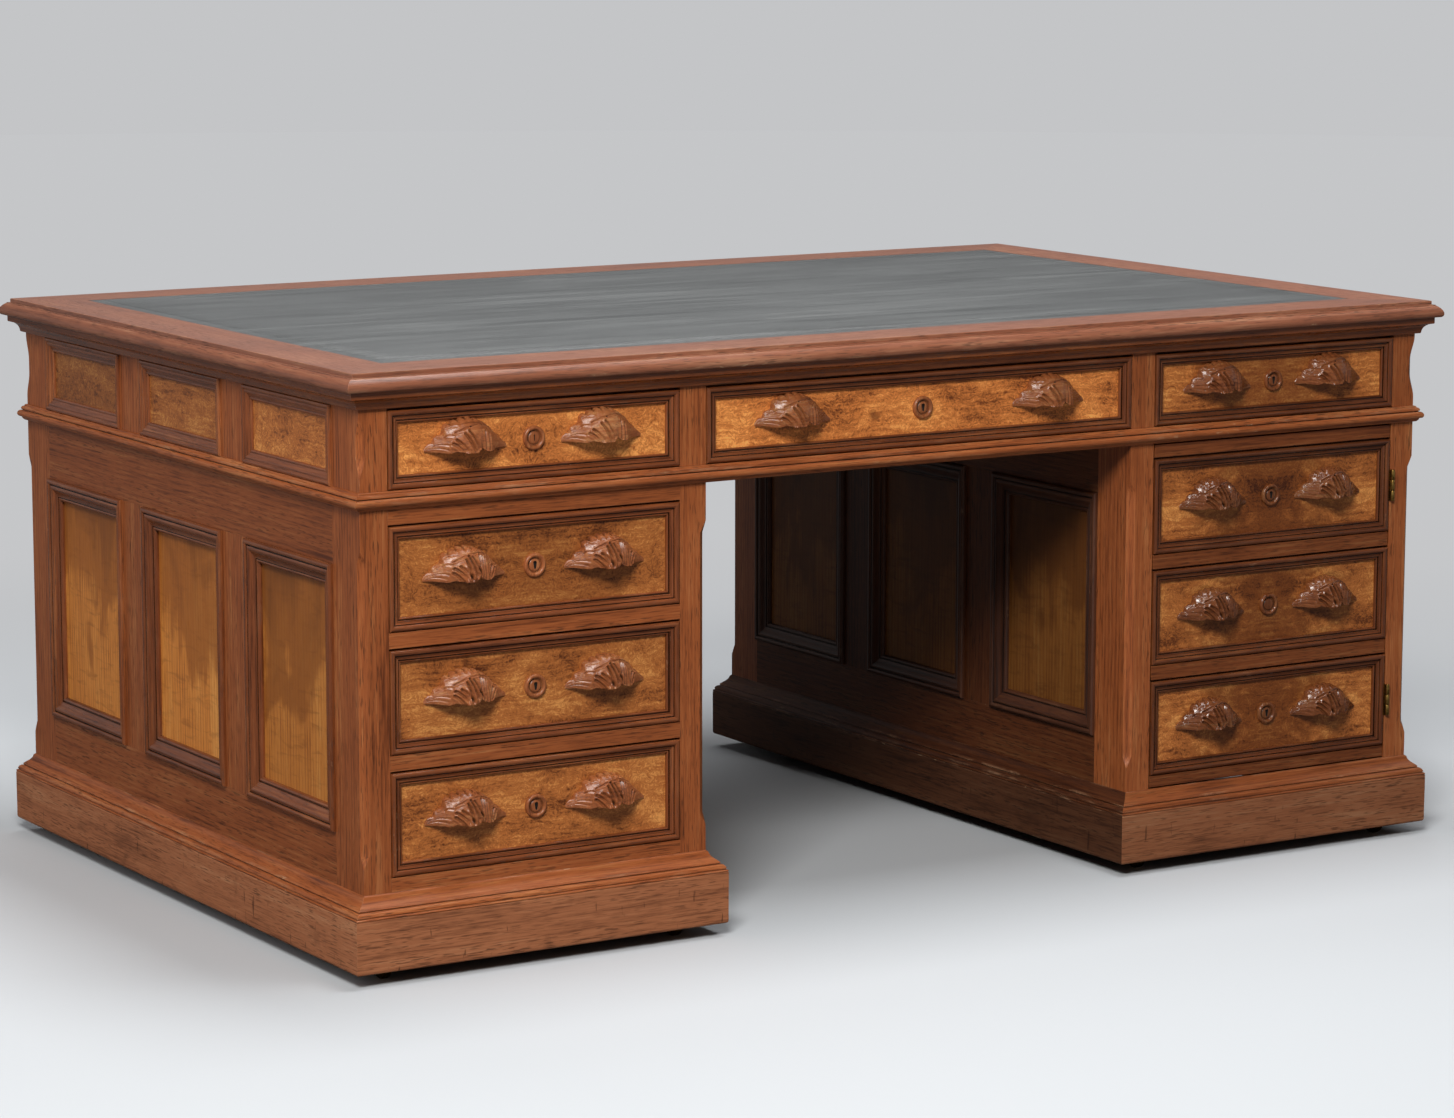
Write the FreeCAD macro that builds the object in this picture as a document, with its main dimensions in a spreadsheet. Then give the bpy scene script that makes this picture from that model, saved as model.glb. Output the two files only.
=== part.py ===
import FreeCAD, Part
import math
import os
import re
import Sketcher

# Partners desk in walnut and burl walnut: a leather-lined top on a frieze of drawers, carried by two
# pedestals on moulded plinths with casters. The two long sides are alike, turned half round about Z.
# Millimetres, +Z up, X along the front, Y towards the back, origin on the floor under the centre.

doc = FreeCAD.newDocument("partners_desk")
sheet = doc.addObject("Spreadsheet::Sheet", "size")

SIZES = [
    ("carcass_width", 1686, "over the posts, along the front"),
    ("carcass_depth", 1040, "over the posts, front to back"),
    ("pedestal_width", 501, "over the posts of one pedestal"),
    ("floor_gap", 18, "floor to the plinth"),
    ("plinth_board_height", 69, "plain board of the plinth"),
    ("plinth_board_thickness", 24, "plain board of the plinth"),
    ("plinth_arris_radius", 5, "rounding of the plinth's lower edge"),
    ("plinth_lip", 4, "upright lip under the plinth's ovolo"),
    ("plinth_ovolo", 12, "radius of the plinth's ovolo"),
    ("plinth_quirk", 2, "width of the quirk above the ovolo"),
    ("plinth_quirk_rise", 3, "rise of the quirk above the ovolo"),
    ("plinth_cove", 8, "radius of the plinth's cove"),
    ("plinth_fillet", 1, "upright fillet above the cove"),
    ("bottom_rail_height", 18, "lowest rail of a pedestal"),
    ("drawer_opening_height", 136, "opening of a pedestal drawer"),
    ("rail_height", 20, "rails above each pedestal drawer"),
    ("waist_rail_width", 60, "frame member inside the carcass face"),
    ("waist_fillet", 3, "fillet beside the waist's nose"),
    ("waist_nose", 8.5, "radius of each half of the waist's nose"),
    ("waist_flat", 3, "flat between the halves of the waist's nose"),
    ("frieze_opening_height", 103, "opening of a frieze drawer"),
    ("frieze_rail_height", 25, "rail above the frieze drawers"),
    ("top_thickness", 23, "boards of the top"),
    ("arris_overhang", 16, "flat of the top past the posts"),
    ("nosing_step", 4, "ledge between the flat and the nosing"),
    ("nosing_drop", 6, "drop from the flat to the ledge"),
    ("nosing_reach", 9, "ovolo of the nosing past the ledge"),
    ("nosing_lip", 3, "bevel under the nosing"),
    ("nosing_radius", 15, "radius of the nosing's ovolo"),
    ("border_width", 83, "wooden border round the leather"),
    ("leather_thickness", 2.5, "writing leather"),
    ("cornice_fascia", 10, "upright face of the cornice"),
    ("cornice_cove", 14, "radius of the cornice's cove"),
    ("cornice_foot", 5.5, "foot of the cove past the posts"),
    ("post_face", 39, "corner post seen from the front"),
    ("post_side", 75, "corner post seen from the end"),
    ("post_chamfer", 9, "leg of the posts' stopped chamfer"),
    ("pedestal_stop_low", 35, "pedestal post's foot to its chamfer"),
    ("pedestal_stop_high", 52, "chamfer to the pedestal post's head"),
    ("frieze_stop_low", 14, "frieze post's foot to its chamfer"),
    ("frieze_stop_high", 42, "chamfer to the frieze post's head"),
    ("side_frame_thickness", 25, "frames of the ends and kneehole sides"),
    ("side_rail_high", 75, "upper rail of a side frame"),
    ("side_rail_low", 68, "lower rail of a side frame"),
    ("muntin_width", 70, "uprights between the panels"),
    ("panel_thickness", 8, "veneered panels"),
    ("panel_recess", 8, "pedestal panel behind its frame"),
    ("panel_moulding_width", 30, "bolection round a pedestal panel"),
    ("panel_moulding_proud", 6, "bolection past the frame's face"),
    ("frieze_panel_recess", 4, "frieze panel behind its frame"),
    ("frieze_moulding_width", 19.5, "moulding round a frieze end panel"),
    ("frieze_moulding_proud", 4, "frieze moulding past the frame's face"),
    ("inner_board_thickness", 18, "dividers, shelves and dust boards"),
    ("partition_thickness", 20, "boards between the frieze drawers"),
    ("guide_height", 26, "drawer guides above their runner"),
    ("runner_width", 44, "drawer runners"),
    ("shelf_share", 0.5, "shelf's place in the height of its cupboard"),
    ("drawer_gap", 1, "drawer front to its opening"),
    ("drawer_slide_gap", 0.25, "drawer side above its runner"),
    ("drawer_guide_gap", 0.5, "drawer side beside its guide"),
    ("drawer_back_gap", 12, "drawer back to the divider"),
    ("front_recess", 11, "drawer front board behind the case face"),
    ("front_thickness", 20, "drawer front board"),
    ("burl_thickness", 3, "burl field on a drawer front"),
    ("drawer_moulding_width", 17, "moulding round a drawer front"),
    ("drawer_moulding_proud", 2, "drawer moulding past the case face"),
    ("bead_radius", 9, "round of the drawer and panel mouldings' bead"),
    ("bead_width", 8, "width of the raised bead"),
    ("bead_rise", 1, "shoulders of the bead below its crown"),
    ("moulding_step", 2.5, "drop from the bead to the inner slope"),
    ("moulding_slope", 2, "fall of the inner slope"),
    ("drawer_side_thickness", 12, "drawer sides and back"),
    ("drawer_bottom_thickness", 8, "drawer bottoms"),
    ("drawer_bottom_lift", 8, "drawer bottom above the sides' lower edge"),
    ("drawer_side_drop", 16, "drawer sides below the opening's head"),
    ("pull_width", 117, "carved leaf pull, tip to tip"),
    ("pull_rise", 34, "leaf's crown above the drawer's middle"),
    ("pull_drop", 8, "leaf's tips below the drawer's middle"),
    ("pull_projection", 28, "leaf's lip in front of the burl"),
    ("pull_wall", 5, "thickness of the leaf"),
    ("pull_scallop", 3, "depth of the lip's scallops"),
    ("pedestal_pull_share", 0.482, "between a pedestal drawer's pulls, as a share of the opening"),
    ("small_pull_share", 0.463, "between a small frieze drawer's pulls, as a share of the opening"),
    ("centre_pull_share", 0.6, "between the centre drawer's pulls, as a share of the opening"),
    ("escutcheon_diameter", 31, "turned key escutcheon"),
    ("escutcheon_thickness", 5, "turned key escutcheon"),
    ("lock_width", 64, "till lock behind a drawer front"),
    ("lock_height", 44, "till lock behind a drawer front"),
    ("lock_thickness", 10, "till lock behind a drawer front"),
    ("door_gap", 2.2, "cupboard door beside its posts"),
    ("door_end_gap", 2, "cupboard door above and below"),
    ("door_stop_gap", 2, "cupboard door to the rails behind it"),
    ("hinge_height", 45, "butt hinge"),
    ("hinge_leaf_thickness", 1, "butt hinge"),
    ("hinge_leaf_width", 18, "butt hinge"),
    ("hinge_low_share", 0.175, "lower hinge's middle, as a share of the case's height"),
    ("hinge_high_share", 0.817, "upper hinge's middle, as a share of the case's height"),
    ("knuckle_radius", 3, "hinge knuckles"),
    ("knuckle_gap", 0.3, "hinge knuckles to each other and to the post"),
    ("knuckle_offset", 2, "hinge pin past the post's inner edge"),
    ("pin_radius", 1.5, "hinge pin"),
    ("pin_clearance", 0.06, "hinge pin in its knuckle"),
    ("wheel_diameter", 32, "caster wheel"),
    ("wheel_width", 14, "caster wheel"),
    ("wheel_side_gap", 0.6, "caster wheel to its fork"),
    ("wheel_top_gap", 1.5, "caster wheel to the fork's crown"),
    ("axle_radius", 3, "caster axle"),
    ("axle_clearance", 0.06, "caster axle in its wheel"),
    ("fork_wall", 3, "caster fork"),
    ("fork_reach", 6, "caster fork past its axle and stem"),
    ("stem_radius", 5, "caster stem"),
    ("stem_clearance", 0.06, "caster stem in its plate"),
    ("swivel_gap", 0.3, "fork's crown under the plate, stem under the block"),
    ("caster_trail", 14, "stem to axle, seen from above"),
    ("caster_inset", 58, "stem to the plinth's faces"),
    ("plate_width", 46, "caster plate"),
    ("plate_thickness", 6, "caster plate"),
    ("block_margin", 8, "corner block past the caster plate"),
    ("cut_overrun", 5, "how far a cut runs past the wood"),
]

for row, (alias, number, note) in enumerate(SIZES, start=1):
    sheet.set(f"A{row}", note)
    sheet.set(f"B{row}", str(number))
    sheet.setAlias(f"B{row}", alias)
doc.recompute()

NAMES = {alias for alias, number, note in SIZES}
DRAWERS_HIGH = 3
PANELS_LONG = 3
LEAF_STATIONS = 10
PIN_SIDES = 8
RIM_SIDES = 20
BOSS_SIDES = 12
TURN_AXIS = FreeCAD.Vector(0, 0, 1)

# Levels and places that several pieces share, as sums of the sheet's sizes
HALF_WIDTH = "carcass_width / 2"
HALF_DEPTH = "carcass_depth / 2"
KNEE = f"({HALF_WIDTH} - pedestal_width)"
PEDESTAL_MIDDLE = f"({HALF_WIDTH} - pedestal_width / 2)"
PLINTH_OVERHANG = "(plinth_ovolo + plinth_quirk + plinth_cove)"
PLINTH_INSIDE = f"(plinth_board_thickness - {PLINTH_OVERHANG})"
PLINTH_MOULDING = "(plinth_lip + plinth_ovolo + plinth_quirk_rise + plinth_cove + plinth_fillet)"
BOARD_TOP = "(floor_gap + plinth_board_height)"
CASE_FOOT = f"({BOARD_TOP} + {PLINTH_MOULDING})"
CASE_HEIGHT = f"(bottom_rail_height + {DRAWERS_HIGH} * (drawer_opening_height + rail_height))"
CASE_HEAD = f"({CASE_FOOT} + {CASE_HEIGHT})"
WAIST_HEIGHT = "(2 * waist_nose + waist_flat + waist_fillet)"
WAIST_TOP = f"({CASE_HEAD} + {WAIST_HEIGHT})"
FRIEZE_HEAD = f"({WAIST_TOP} + frieze_opening_height)"
TOP_FOOT = f"({FRIEZE_HEAD} + frieze_rail_height)"
TOP_FACE = f"({TOP_FOOT} + top_thickness)"
OPENING_WIDTH = "(pedestal_width - 2 * post_face)"
CENTRE_OPENING = f"(2 * {KNEE})"
PANEL_WIDTH = (f"((carcass_depth - 2 * post_side - {PANELS_LONG - 1} * muntin_width)"
               f" / {PANELS_LONG})")
PANEL_HEIGHT = f"({CASE_HEIGHT} - side_rail_high - side_rail_low)"
LEATHER_X = f"({HALF_WIDTH} + arris_overhang - border_width)"
LEATHER_Y = f"({HALF_DEPTH} + arris_overhang - border_width)"
DRAWER_LENGTH = f"({HALF_DEPTH} - inner_board_thickness / 2 - drawer_back_gap)"
POST_BACK = f"({HALF_DEPTH} - post_side)"
FRAME_INSIDE = "side_frame_thickness"


def bound(text):
    return re.sub(r"[a-z_]{2,}", lambda word: f"size.{word[0]}" if word[0] in NAMES else word[0], text)


def number(text):
    return float(sheet.evalExpression(bound(text)))


def tie(piece, prop, text):
    piece.setExpression(prop, bound(text))


def place(piece, x="0", y="0", z="0", turn=0):
    piece.Placement = FreeCAD.Placement(FreeCAD.Vector(), FreeCAD.Rotation(TURN_AXIS, turn))
    for axis, text in (("x", x), ("y", y), ("z", z)):
        tie(piece, f"Placement.Base.{axis}", text)
    return piece


def board(name, x, y, z):
    box = doc.addObject("Part::Box", name)
    for prop, (low, high) in (("Length", x), ("Width", y), ("Height", z)):
        tie(box, prop, f"({high}) - ({low})")
    return place(box, x[0], y[0], z[0])


def group(name, pieces, x="0", y="0", z="0", turn=0):
    bundle = doc.addObject("Part::Compound", name)
    bundle.Links = pieces
    return place(bundle, x, y, z, turn)


def fused(name, pieces):
    union = doc.addObject("Part::MultiFuse", name)
    union.Shapes = pieces
    return union


# Small turned pieces, which repeat many times, are drawn with a few flats: a pin has its corners on its
# radius, and a bore or a rim has its flats there, so that the one turns clear inside the other
def turned(name, radius, length, x, y, z, along, sides, on_flats=False):
    prism_piece = doc.addObject("Part::Prism", name)
    prism_piece.Polygon = sides
    tie(prism_piece, "Circumradius", f"({radius}) / cos(180 deg / {sides})" if on_flats else radius)
    tie(prism_piece, "Height", length)
    lay = FreeCAD.Rotation(TURN_AXIS, FreeCAD.Vector(*along))
    flat_down = FreeCAD.Rotation(TURN_AXIS, 180 / sides)
    prism_piece.Placement = FreeCAD.Placement(FreeCAD.Vector(), lay * flat_down)
    for axis, text in (("x", x), ("y", y), ("z", z)):
        tie(prism_piece, f"Placement.Base.{axis}", text)
    return prism_piece


def less(name, whole, tool):
    cut = doc.addObject("Part::Cut", name)
    cut.Base = whole
    cut.Tool = tool
    return cut


def both_ways(name, pieces):
    return [group(f"{name}_near", pieces), group(f"{name}_far", pieces, turn=180)]


# Sketches: each corner is (across, up), and (across, up, radius, side) starts an arc to the next corner,
# with its centre to the left of the way for side 1 and to the right for side -1
def sketch_on(body, role, corners, lift="0"):
    sketch = body.newObject("Sketcher::SketchObject", f"{body.Name}_outline")
    plane = [feature for feature in body.Origin.OriginFeatures if feature.Role == role][0]
    sketch.AttachmentSupport = (plane, [""])
    sketch.MapMode = "FlatFace"
    tie(sketch, "AttachmentOffset.Base.z", lift)
    points = [FreeCAD.Vector(number(corner[0]), number(corner[1]), 0) for corner in corners]
    starts, ends = [], []
    for index, corner in enumerate(corners):
        here, there = points[index], points[(index + 1) % len(points)]
        if len(corner) == 2:
            sketch.addGeometry(Part.LineSegment(here, there), False)
            first, last = 1, 2
        else:
            radius, side = number(corner[2]), corner[3]
            chord = there - here
            across = FreeCAD.Vector(-chord.y, chord.x, 0).normalize() * side
            centre = (here + there) / 2 + across * math.sqrt(radius ** 2 - chord.Length ** 2 / 4)
            angles = [math.atan2(end.y - centre.y, end.x - centre.x) for end in (here, there)]
            circle = Part.Circle(centre, TURN_AXIS, radius)
            sketch.addGeometry(Part.ArcOfCircle(circle, *angles[::side]), False)
            first, last = (1, 2)[::side]
        starts.append((index, first))
        ends.append((index, last))
    for index in range(len(corners)):
        following = starts[(index + 1) % len(corners)]
        sketch.addConstraint(Sketcher.Constraint("Coincident", *ends[index], *following))
    for index, corner in enumerate(corners):
        for kind, text in (("DistanceX", corner[0]), ("DistanceY", corner[1])):
            rule = sketch.addConstraint(Sketcher.Constraint(kind, -1, 1, *starts[index], number(text)))
            tie(sketch, f"Constraints[{rule}]", text)
        if len(corner) == 4:
            rule = sketch.addConstraint(Sketcher.Constraint("Radius", index, number(corner[2])))
            tie(sketch, f"Constraints[{rule}]", corner[2])
    return sketch


def prism(body, role, corners, length, lift="0", kind="PartDesign::Pad", centred=False, flip=False):
    feature = body.newObject(kind, f"{body.Name}_{kind[12:].lower()}")
    feature.Profile = sketch_on(body, role, corners, lift)
    tie(feature, "Length", length)
    feature.Midplane = centred
    feature.Reversed = flip
    return feature


# A moulded length against the carcass face: the profile is (out, up) from that face and its own foot,
# and both ends are mitred so that two lengths meet on the corner's diagonal
def mitred_length(name, profile, half_run, inside, outside):
    body = doc.addObject("PartDesign::Body", name)
    section = [(f"-({corner[0]})", *corner[1:]) for corner in profile]
    prism(body, "YZ_Plane", section, f"2 * ({half_run} + {outside})", centred=True)
    reach = f"({outside} + cut_overrun)"
    depth = f"({inside} + cut_overrun)"
    for sign in ("", "-"):
        waste = [(f"{sign}({half_run} + {reach})", f"-{reach}"),
                 (f"{sign}({half_run} + {reach})", depth),
                 (f"{sign}({half_run} - {depth})", depth)]
        prism(body, "XY_Plane", waste, f"4 * ({TOP_FACE})", kind="PartDesign::Pocket", centred=True)
    return body


def mitred_surround(name, profile, half_x, half_y, inside, outside, foot, middle="0"):
    front = mitred_length(f"{name}_front", profile, half_x, inside, outside)
    end = mitred_length(f"{name}_end", profile, half_y, inside, outside)
    return [group(f"{name}_front_run", [front], middle, f"-({half_y})", foot),
            group(f"{name}_back_run", [front], middle, half_y, foot, turn=180),
            group(f"{name}_left_run", [end], f"{middle} - ({half_x})", "0", foot, turn=-90),
            group(f"{name}_right_run", [end], f"{middle} + ({half_x})", "0", foot, turn=90)]


# A frame of moulding round a field, standing in XZ with its foot on Z 0 and its back on Y 0
def moulding_frame(name, width, height, member, depth):
    body = doc.addObject("PartDesign::Body", name)
    path = sketch_on(body, "XZ_Plane", [(f"-({width}) / 2", "0"), (f"({width}) / 2", "0"),
                                        (f"({width}) / 2", height), (f"-({width}) / 2", height)])
    inner = f"({depth} - bead_rise - moulding_step - moulding_slope)"
    profile = sketch_on(body, "YZ_Plane", [
        ("0", "0"),
        (f"-({depth} - bead_rise)", "0", "bead_radius", -1),
        (f"-({depth} - bead_rise)", "bead_width"),
        (f"-({depth} - bead_rise - moulding_step)", "bead_width"),
        (f"-{inner}", member),
        ("0", member)])
    doc.recompute()
    pipe = body.newObject("PartDesign::AdditivePipe", f"{name}_pipe")
    pipe.Profile = profile
    pipe.Spine = path
    pipe.Transition = "Right corner"
    return body


# A post with its foot on Z 0: its front outer corner is the origin, and the wood runs to +Y and to the
# side given by the sign
def chamfered_post(name, height, stop_low, stop_high, sign):
    body = doc.addObject("PartDesign::Body", name)
    prism(body, "XY_Plane", [("0", "0"), (f"{sign}post_face", "0"),
                             (f"{sign}post_face", "post_side"), ("0", "post_side")], height)
    reach = "(post_chamfer + cut_overrun)"
    waste = [(f"{sign}(-cut_overrun)", "-cut_overrun"), (f"{sign}{reach}", "-cut_overrun"),
             (f"{sign}(-cut_overrun)", reach)]
    prism(body, "XY_Plane", waste, f"({height}) - {stop_low} - {stop_high}", lift=stop_low,
          kind="PartDesign::Pocket", flip=True)
    return body


# The top: border boards mitred round the leather and its bed
def top_pieces():
    nose = "(arris_overhang + nosing_step + nosing_reach)"
    inside = "(border_width - arris_overhang)"
    ledge = "(top_thickness - nosing_drop)"
    profile = [(f"-{inside}", "0"), (f"{nose} - nosing_lip", "0"),
               (nose, "nosing_lip", "nosing_radius", -1),
               ("arris_overhang + nosing_step", ledge), ("arris_overhang", ledge),
               ("arris_overhang", "top_thickness"), (f"-{inside}", "top_thickness")]
    border = mitred_surround("top_border", profile, HALF_WIDTH, HALF_DEPTH, inside, nose, TOP_FOOT)
    x, y = (f"-{LEATHER_X}", LEATHER_X), (f"-{LEATHER_Y}", LEATHER_Y)
    seat = f"{TOP_FACE} - leather_thickness"
    bed = board("bed", x, y, (TOP_FOOT, seat))
    leather = board("leather", x, y, (seat, TOP_FACE))
    return border, [bed], [leather]


def cornice_pieces():
    overhang = "(cornice_foot + cornice_cove)"
    height = "(cornice_fascia + cornice_cove)"
    profile = [("0", "0"), ("cornice_foot", "0", "cornice_cove", 1), (overhang, "cornice_cove"),
               (overhang, height), ("0", height)]
    return mitred_surround("cornice", profile, HALF_WIDTH, HALF_DEPTH, "0", overhang,
                           f"{TOP_FOOT} - {height}")


def waist_pieces():
    overhang = "(waist_fillet + waist_nose)"
    profile = [("-waist_rail_width", "0"), ("waist_fillet", "0", "waist_nose", -1),
               (overhang, "waist_nose"),
               (overhang, "waist_nose + waist_flat", "waist_nose", -1),
               ("waist_fillet", "2 * waist_nose + waist_flat"), ("0", WAIST_HEIGHT),
               ("-waist_rail_width", WAIST_HEIGHT)]
    return mitred_surround("waist", profile, HALF_WIDTH, HALF_DEPTH, "waist_rail_width", overhang, CASE_HEAD)


# The frieze: posts, stiles and rails round the drawers, with three panels at each end
def end_strips(name, along, up):
    x = (f"-({HALF_WIDTH})", f"-({HALF_WIDTH}) + {FRAME_INSIDE}")
    return board(name, x, along, up)


def panel_places():
    step = f"({PANEL_WIDTH} + muntin_width)"
    middle = (PANELS_LONG - 1) / 2
    return [f"({index - middle} * {step})" for index in range(PANELS_LONG)]


def muntin_spans():
    spans = []
    for place_y in panel_places()[:-1]:
        foot = f"{place_y} + {PANEL_WIDTH} / 2"
        spans.append((foot, f"{foot} + muntin_width"))
    return spans


def frieze_frame_pieces():
    height = f"({TOP_FOOT} - {WAIST_TOP})"
    left = chamfered_post("frieze_post_left", height, "frieze_stop_low", "frieze_stop_high", "")
    right = chamfered_post("frieze_post_right", height, "frieze_stop_low", "frieze_stop_high", "-")
    front = (f"-({HALF_DEPTH})", f"-{POST_BACK}")
    drawers_up = (WAIST_TOP, FRIEZE_HEAD)
    rail_up = (FRIEZE_HEAD, TOP_FOOT)
    stile = (KNEE, f"{KNEE} + post_face")
    half = [
        group("frieze_post_left_place", [left], f"-({HALF_WIDTH})", f"-({HALF_DEPTH})", WAIST_TOP),
        group("frieze_post_right_place", [right], HALF_WIDTH, f"-({HALF_DEPTH})", WAIST_TOP),
        board("frieze_rail", (f"-({HALF_WIDTH} - post_face)", f"{HALF_WIDTH} - post_face"), front, rail_up),
        board("frieze_stile_right", stile, front, drawers_up),
        board("frieze_stile_left", (f"-({stile[1]})", f"-{stile[0]}"), front, drawers_up),
        end_strips("frieze_end_rail", (f"-{POST_BACK}", POST_BACK), rail_up)]
    for span in muntin_spans():
        half.append(end_strips("frieze_muntin", span, drawers_up))
    return both_ways("frieze_frame", half)


# Inside the frieze: a dust board, a divider between the two sides' drawers, partitions and guides
def frieze_inner_pieces():
    inside_x = f"({HALF_WIDTH} - waist_rail_width)"
    inside_y = f"({HALF_DEPTH} - waist_rail_width)"
    dust = board("dust_board", (f"-{inside_x}", inside_x), (f"-{inside_y}", inside_y),
                 (f"{WAIST_TOP} - inner_board_thickness", WAIST_TOP))
    frame_x = f"({HALF_WIDTH} - {FRAME_INSIDE})"
    divider = board("frieze_divider", (f"-{frame_x}", frame_x),
                    ("-inner_board_thickness / 2", "inner_board_thickness / 2"), (WAIST_TOP, TOP_FOOT))
    behind = (f"-{POST_BACK}", "-inner_board_thickness / 2")
    guide_up = (WAIST_TOP, f"{WAIST_TOP} + guide_height")
    middle = f"({KNEE} + post_face / 2)"
    near, far = f"({middle} - partition_thickness / 2)", f"({middle} + partition_thickness / 2)"
    half = []
    for side in ("", "-"):
        def span(low, high):
            return (low, high) if side == "" else (f"-({high})", f"-({low})")
        half += [
            board("partition", span(near, far), behind, (WAIST_TOP, TOP_FOOT)),
            board("knee_guide", span(KNEE, near), behind, guide_up),
            board("inner_guide", span(far, f"{KNEE} + post_face"), behind, guide_up),
            board("outer_guide", span(f"{HALF_WIDTH} - post_face", frame_x), behind, guide_up)]
    return [dust, divider, *both_ways("frieze_inner", half)]


# The left pedestal: drawers to the front, a cupboard to the back
def pedestal_frame_pieces():
    left = chamfered_post("pedestal_post_left", CASE_HEIGHT, "pedestal_stop_low", "pedestal_stop_high", "")
    right = chamfered_post("pedestal_post_right", CASE_HEIGHT, "pedestal_stop_low", "pedestal_stop_high", "-")
    outer, inner = f"-({HALF_WIDTH})", f"-{KNEE}"
    pieces = [
        group("post_front_outer", [left], outer, f"-({HALF_DEPTH})", CASE_FOOT),
        group("post_front_inner", [right], inner, f"-({HALF_DEPTH})", CASE_FOOT),
        group("post_back_outer", [right], outer, HALF_DEPTH, CASE_FOOT, turn=180),
        group("post_back_inner", [left], inner, HALF_DEPTH, CASE_FOOT, turn=180)]
    front = (f"-({HALF_DEPTH})", f"-{POST_BACK}")
    across = (f"{outer} + post_face", f"{inner} - post_face")
    pieces.append(board("rail_low", across, front, (CASE_FOOT, f"{CASE_FOOT} + bottom_rail_height")))
    for level in drawer_levels():
        head = f"{level} + drawer_opening_height"
        pieces.append(board("rail", across, front, (head, f"{head} + rail_height")))
    length = (f"-{POST_BACK}", POST_BACK)
    low = (CASE_FOOT, f"{CASE_FOOT} + side_rail_low")
    high = (f"{CASE_HEAD} - side_rail_high", CASE_HEAD)
    for face in ((outer, f"{outer} + {FRAME_INSIDE}"), (f"{inner} - {FRAME_INSIDE}", inner)):
        pieces.append(board("side_rail_low", face, length, low))
        pieces.append(board("side_rail_high", face, length, high))
        for span in muntin_spans():
            pieces.append(board("side_muntin", face, span, (low[1], high[0])))
    return pieces


def drawer_levels():
    first = f"{CASE_FOOT} + bottom_rail_height"
    return [f"({first} + {level} * (drawer_opening_height + rail_height))" for level in range(DRAWERS_HIGH)]


def pedestal_inner_pieces():
    outer, inner = f"(-({HALF_WIDTH}) + {FRAME_INSIDE})", f"(-{KNEE} - {FRAME_INSIDE})"
    across = (outer, inner)
    between_posts = (f"-({HALF_WIDTH}) + post_face", f"-{KNEE} - post_face")
    length = (f"-{POST_BACK}", POST_BACK)
    foot = (CASE_FOOT, f"{CASE_FOOT} + bottom_rail_height")
    head = (f"{CASE_HEAD} - rail_height", CASE_HEAD)
    door_back = f"({HALF_DEPTH} - front_recess - front_thickness - door_stop_gap)"
    half_divider = "inner_board_thickness / 2"
    shelf = f"({foot[1]} + shelf_share * ({head[0]} - ({foot[1]})))"
    pieces = [
        board("foot_board", across, length, foot),
        board("head_board", across, length, head),
        board("cupboard_sill", between_posts, (POST_BACK, door_back), foot),
        board("cupboard_head", between_posts, (POST_BACK, door_back), head),
        board("pedestal_divider", across, (f"-{half_divider}", half_divider), (foot[1], head[0])),
        board("shelf", across, (half_divider, POST_BACK), (shelf, f"{shelf} + inner_board_thickness"))]
    behind = (f"-{POST_BACK}", f"-{half_divider}")
    for index, level in enumerate(drawer_levels()):
        guide_up = (level, f"{level} + guide_height")
        pieces.append(board("guide_outer", (outer, between_posts[0]), behind, guide_up))
        pieces.append(board("guide_inner", (between_posts[1], inner), behind, guide_up))
        if index:
            runner_up = (f"{level} - rail_height", level)
            pieces.append(board("runner_outer", (outer, f"{outer} + runner_width"), behind, runner_up))
            pieces.append(board("runner_inner", (f"{inner} - runner_width", inner), behind, runner_up))
    return [*pieces, *corner_blocks()]


# Panels and their mouldings stand in the side frames, facing out
def panel_pieces():
    depth = "(panel_recess + panel_moulding_proud)"
    frieze_depth = "(frieze_panel_recess + frieze_moulding_proud)"
    field = board("side_panel", (f"-{PANEL_WIDTH} / 2", f"{PANEL_WIDTH} / 2"), ("0", "panel_thickness"),
                  ("0", PANEL_HEIGHT))
    frieze_field = board("frieze_panel", (f"-{PANEL_WIDTH} / 2", f"{PANEL_WIDTH} / 2"),
                         ("0", "panel_thickness"), ("0", "frieze_opening_height"))
    frame = moulding_frame("side_panel_moulding", PANEL_WIDTH, PANEL_HEIGHT, "panel_moulding_width", depth)
    frieze_frame = moulding_frame("frieze_panel_moulding", PANEL_WIDTH, "frieze_opening_height",
                                  "frieze_moulding_width", frieze_depth)
    panel_foot = f"{CASE_FOOT} + side_rail_low"
    sites = [(f"-({HALF_WIDTH}) + panel_recess", panel_foot, -90, field, frame),
             (f"-{KNEE} - panel_recess", panel_foot, 90, field, frame),
             (f"-({HALF_WIDTH}) + frieze_panel_recess", WAIST_TOP, -90, frieze_field, frieze_frame)]
    fields, frames = [], []
    for x, foot, turn, panel, moulding in sites:
        for y in panel_places():
            fields.append(group("panel_place", [panel], x, y, foot, turn))
            frames.append(group("moulding_place", [moulding], x, y, foot, turn))
    return both_ways("panels", fields), both_ways("panel_mouldings", frames)


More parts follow.
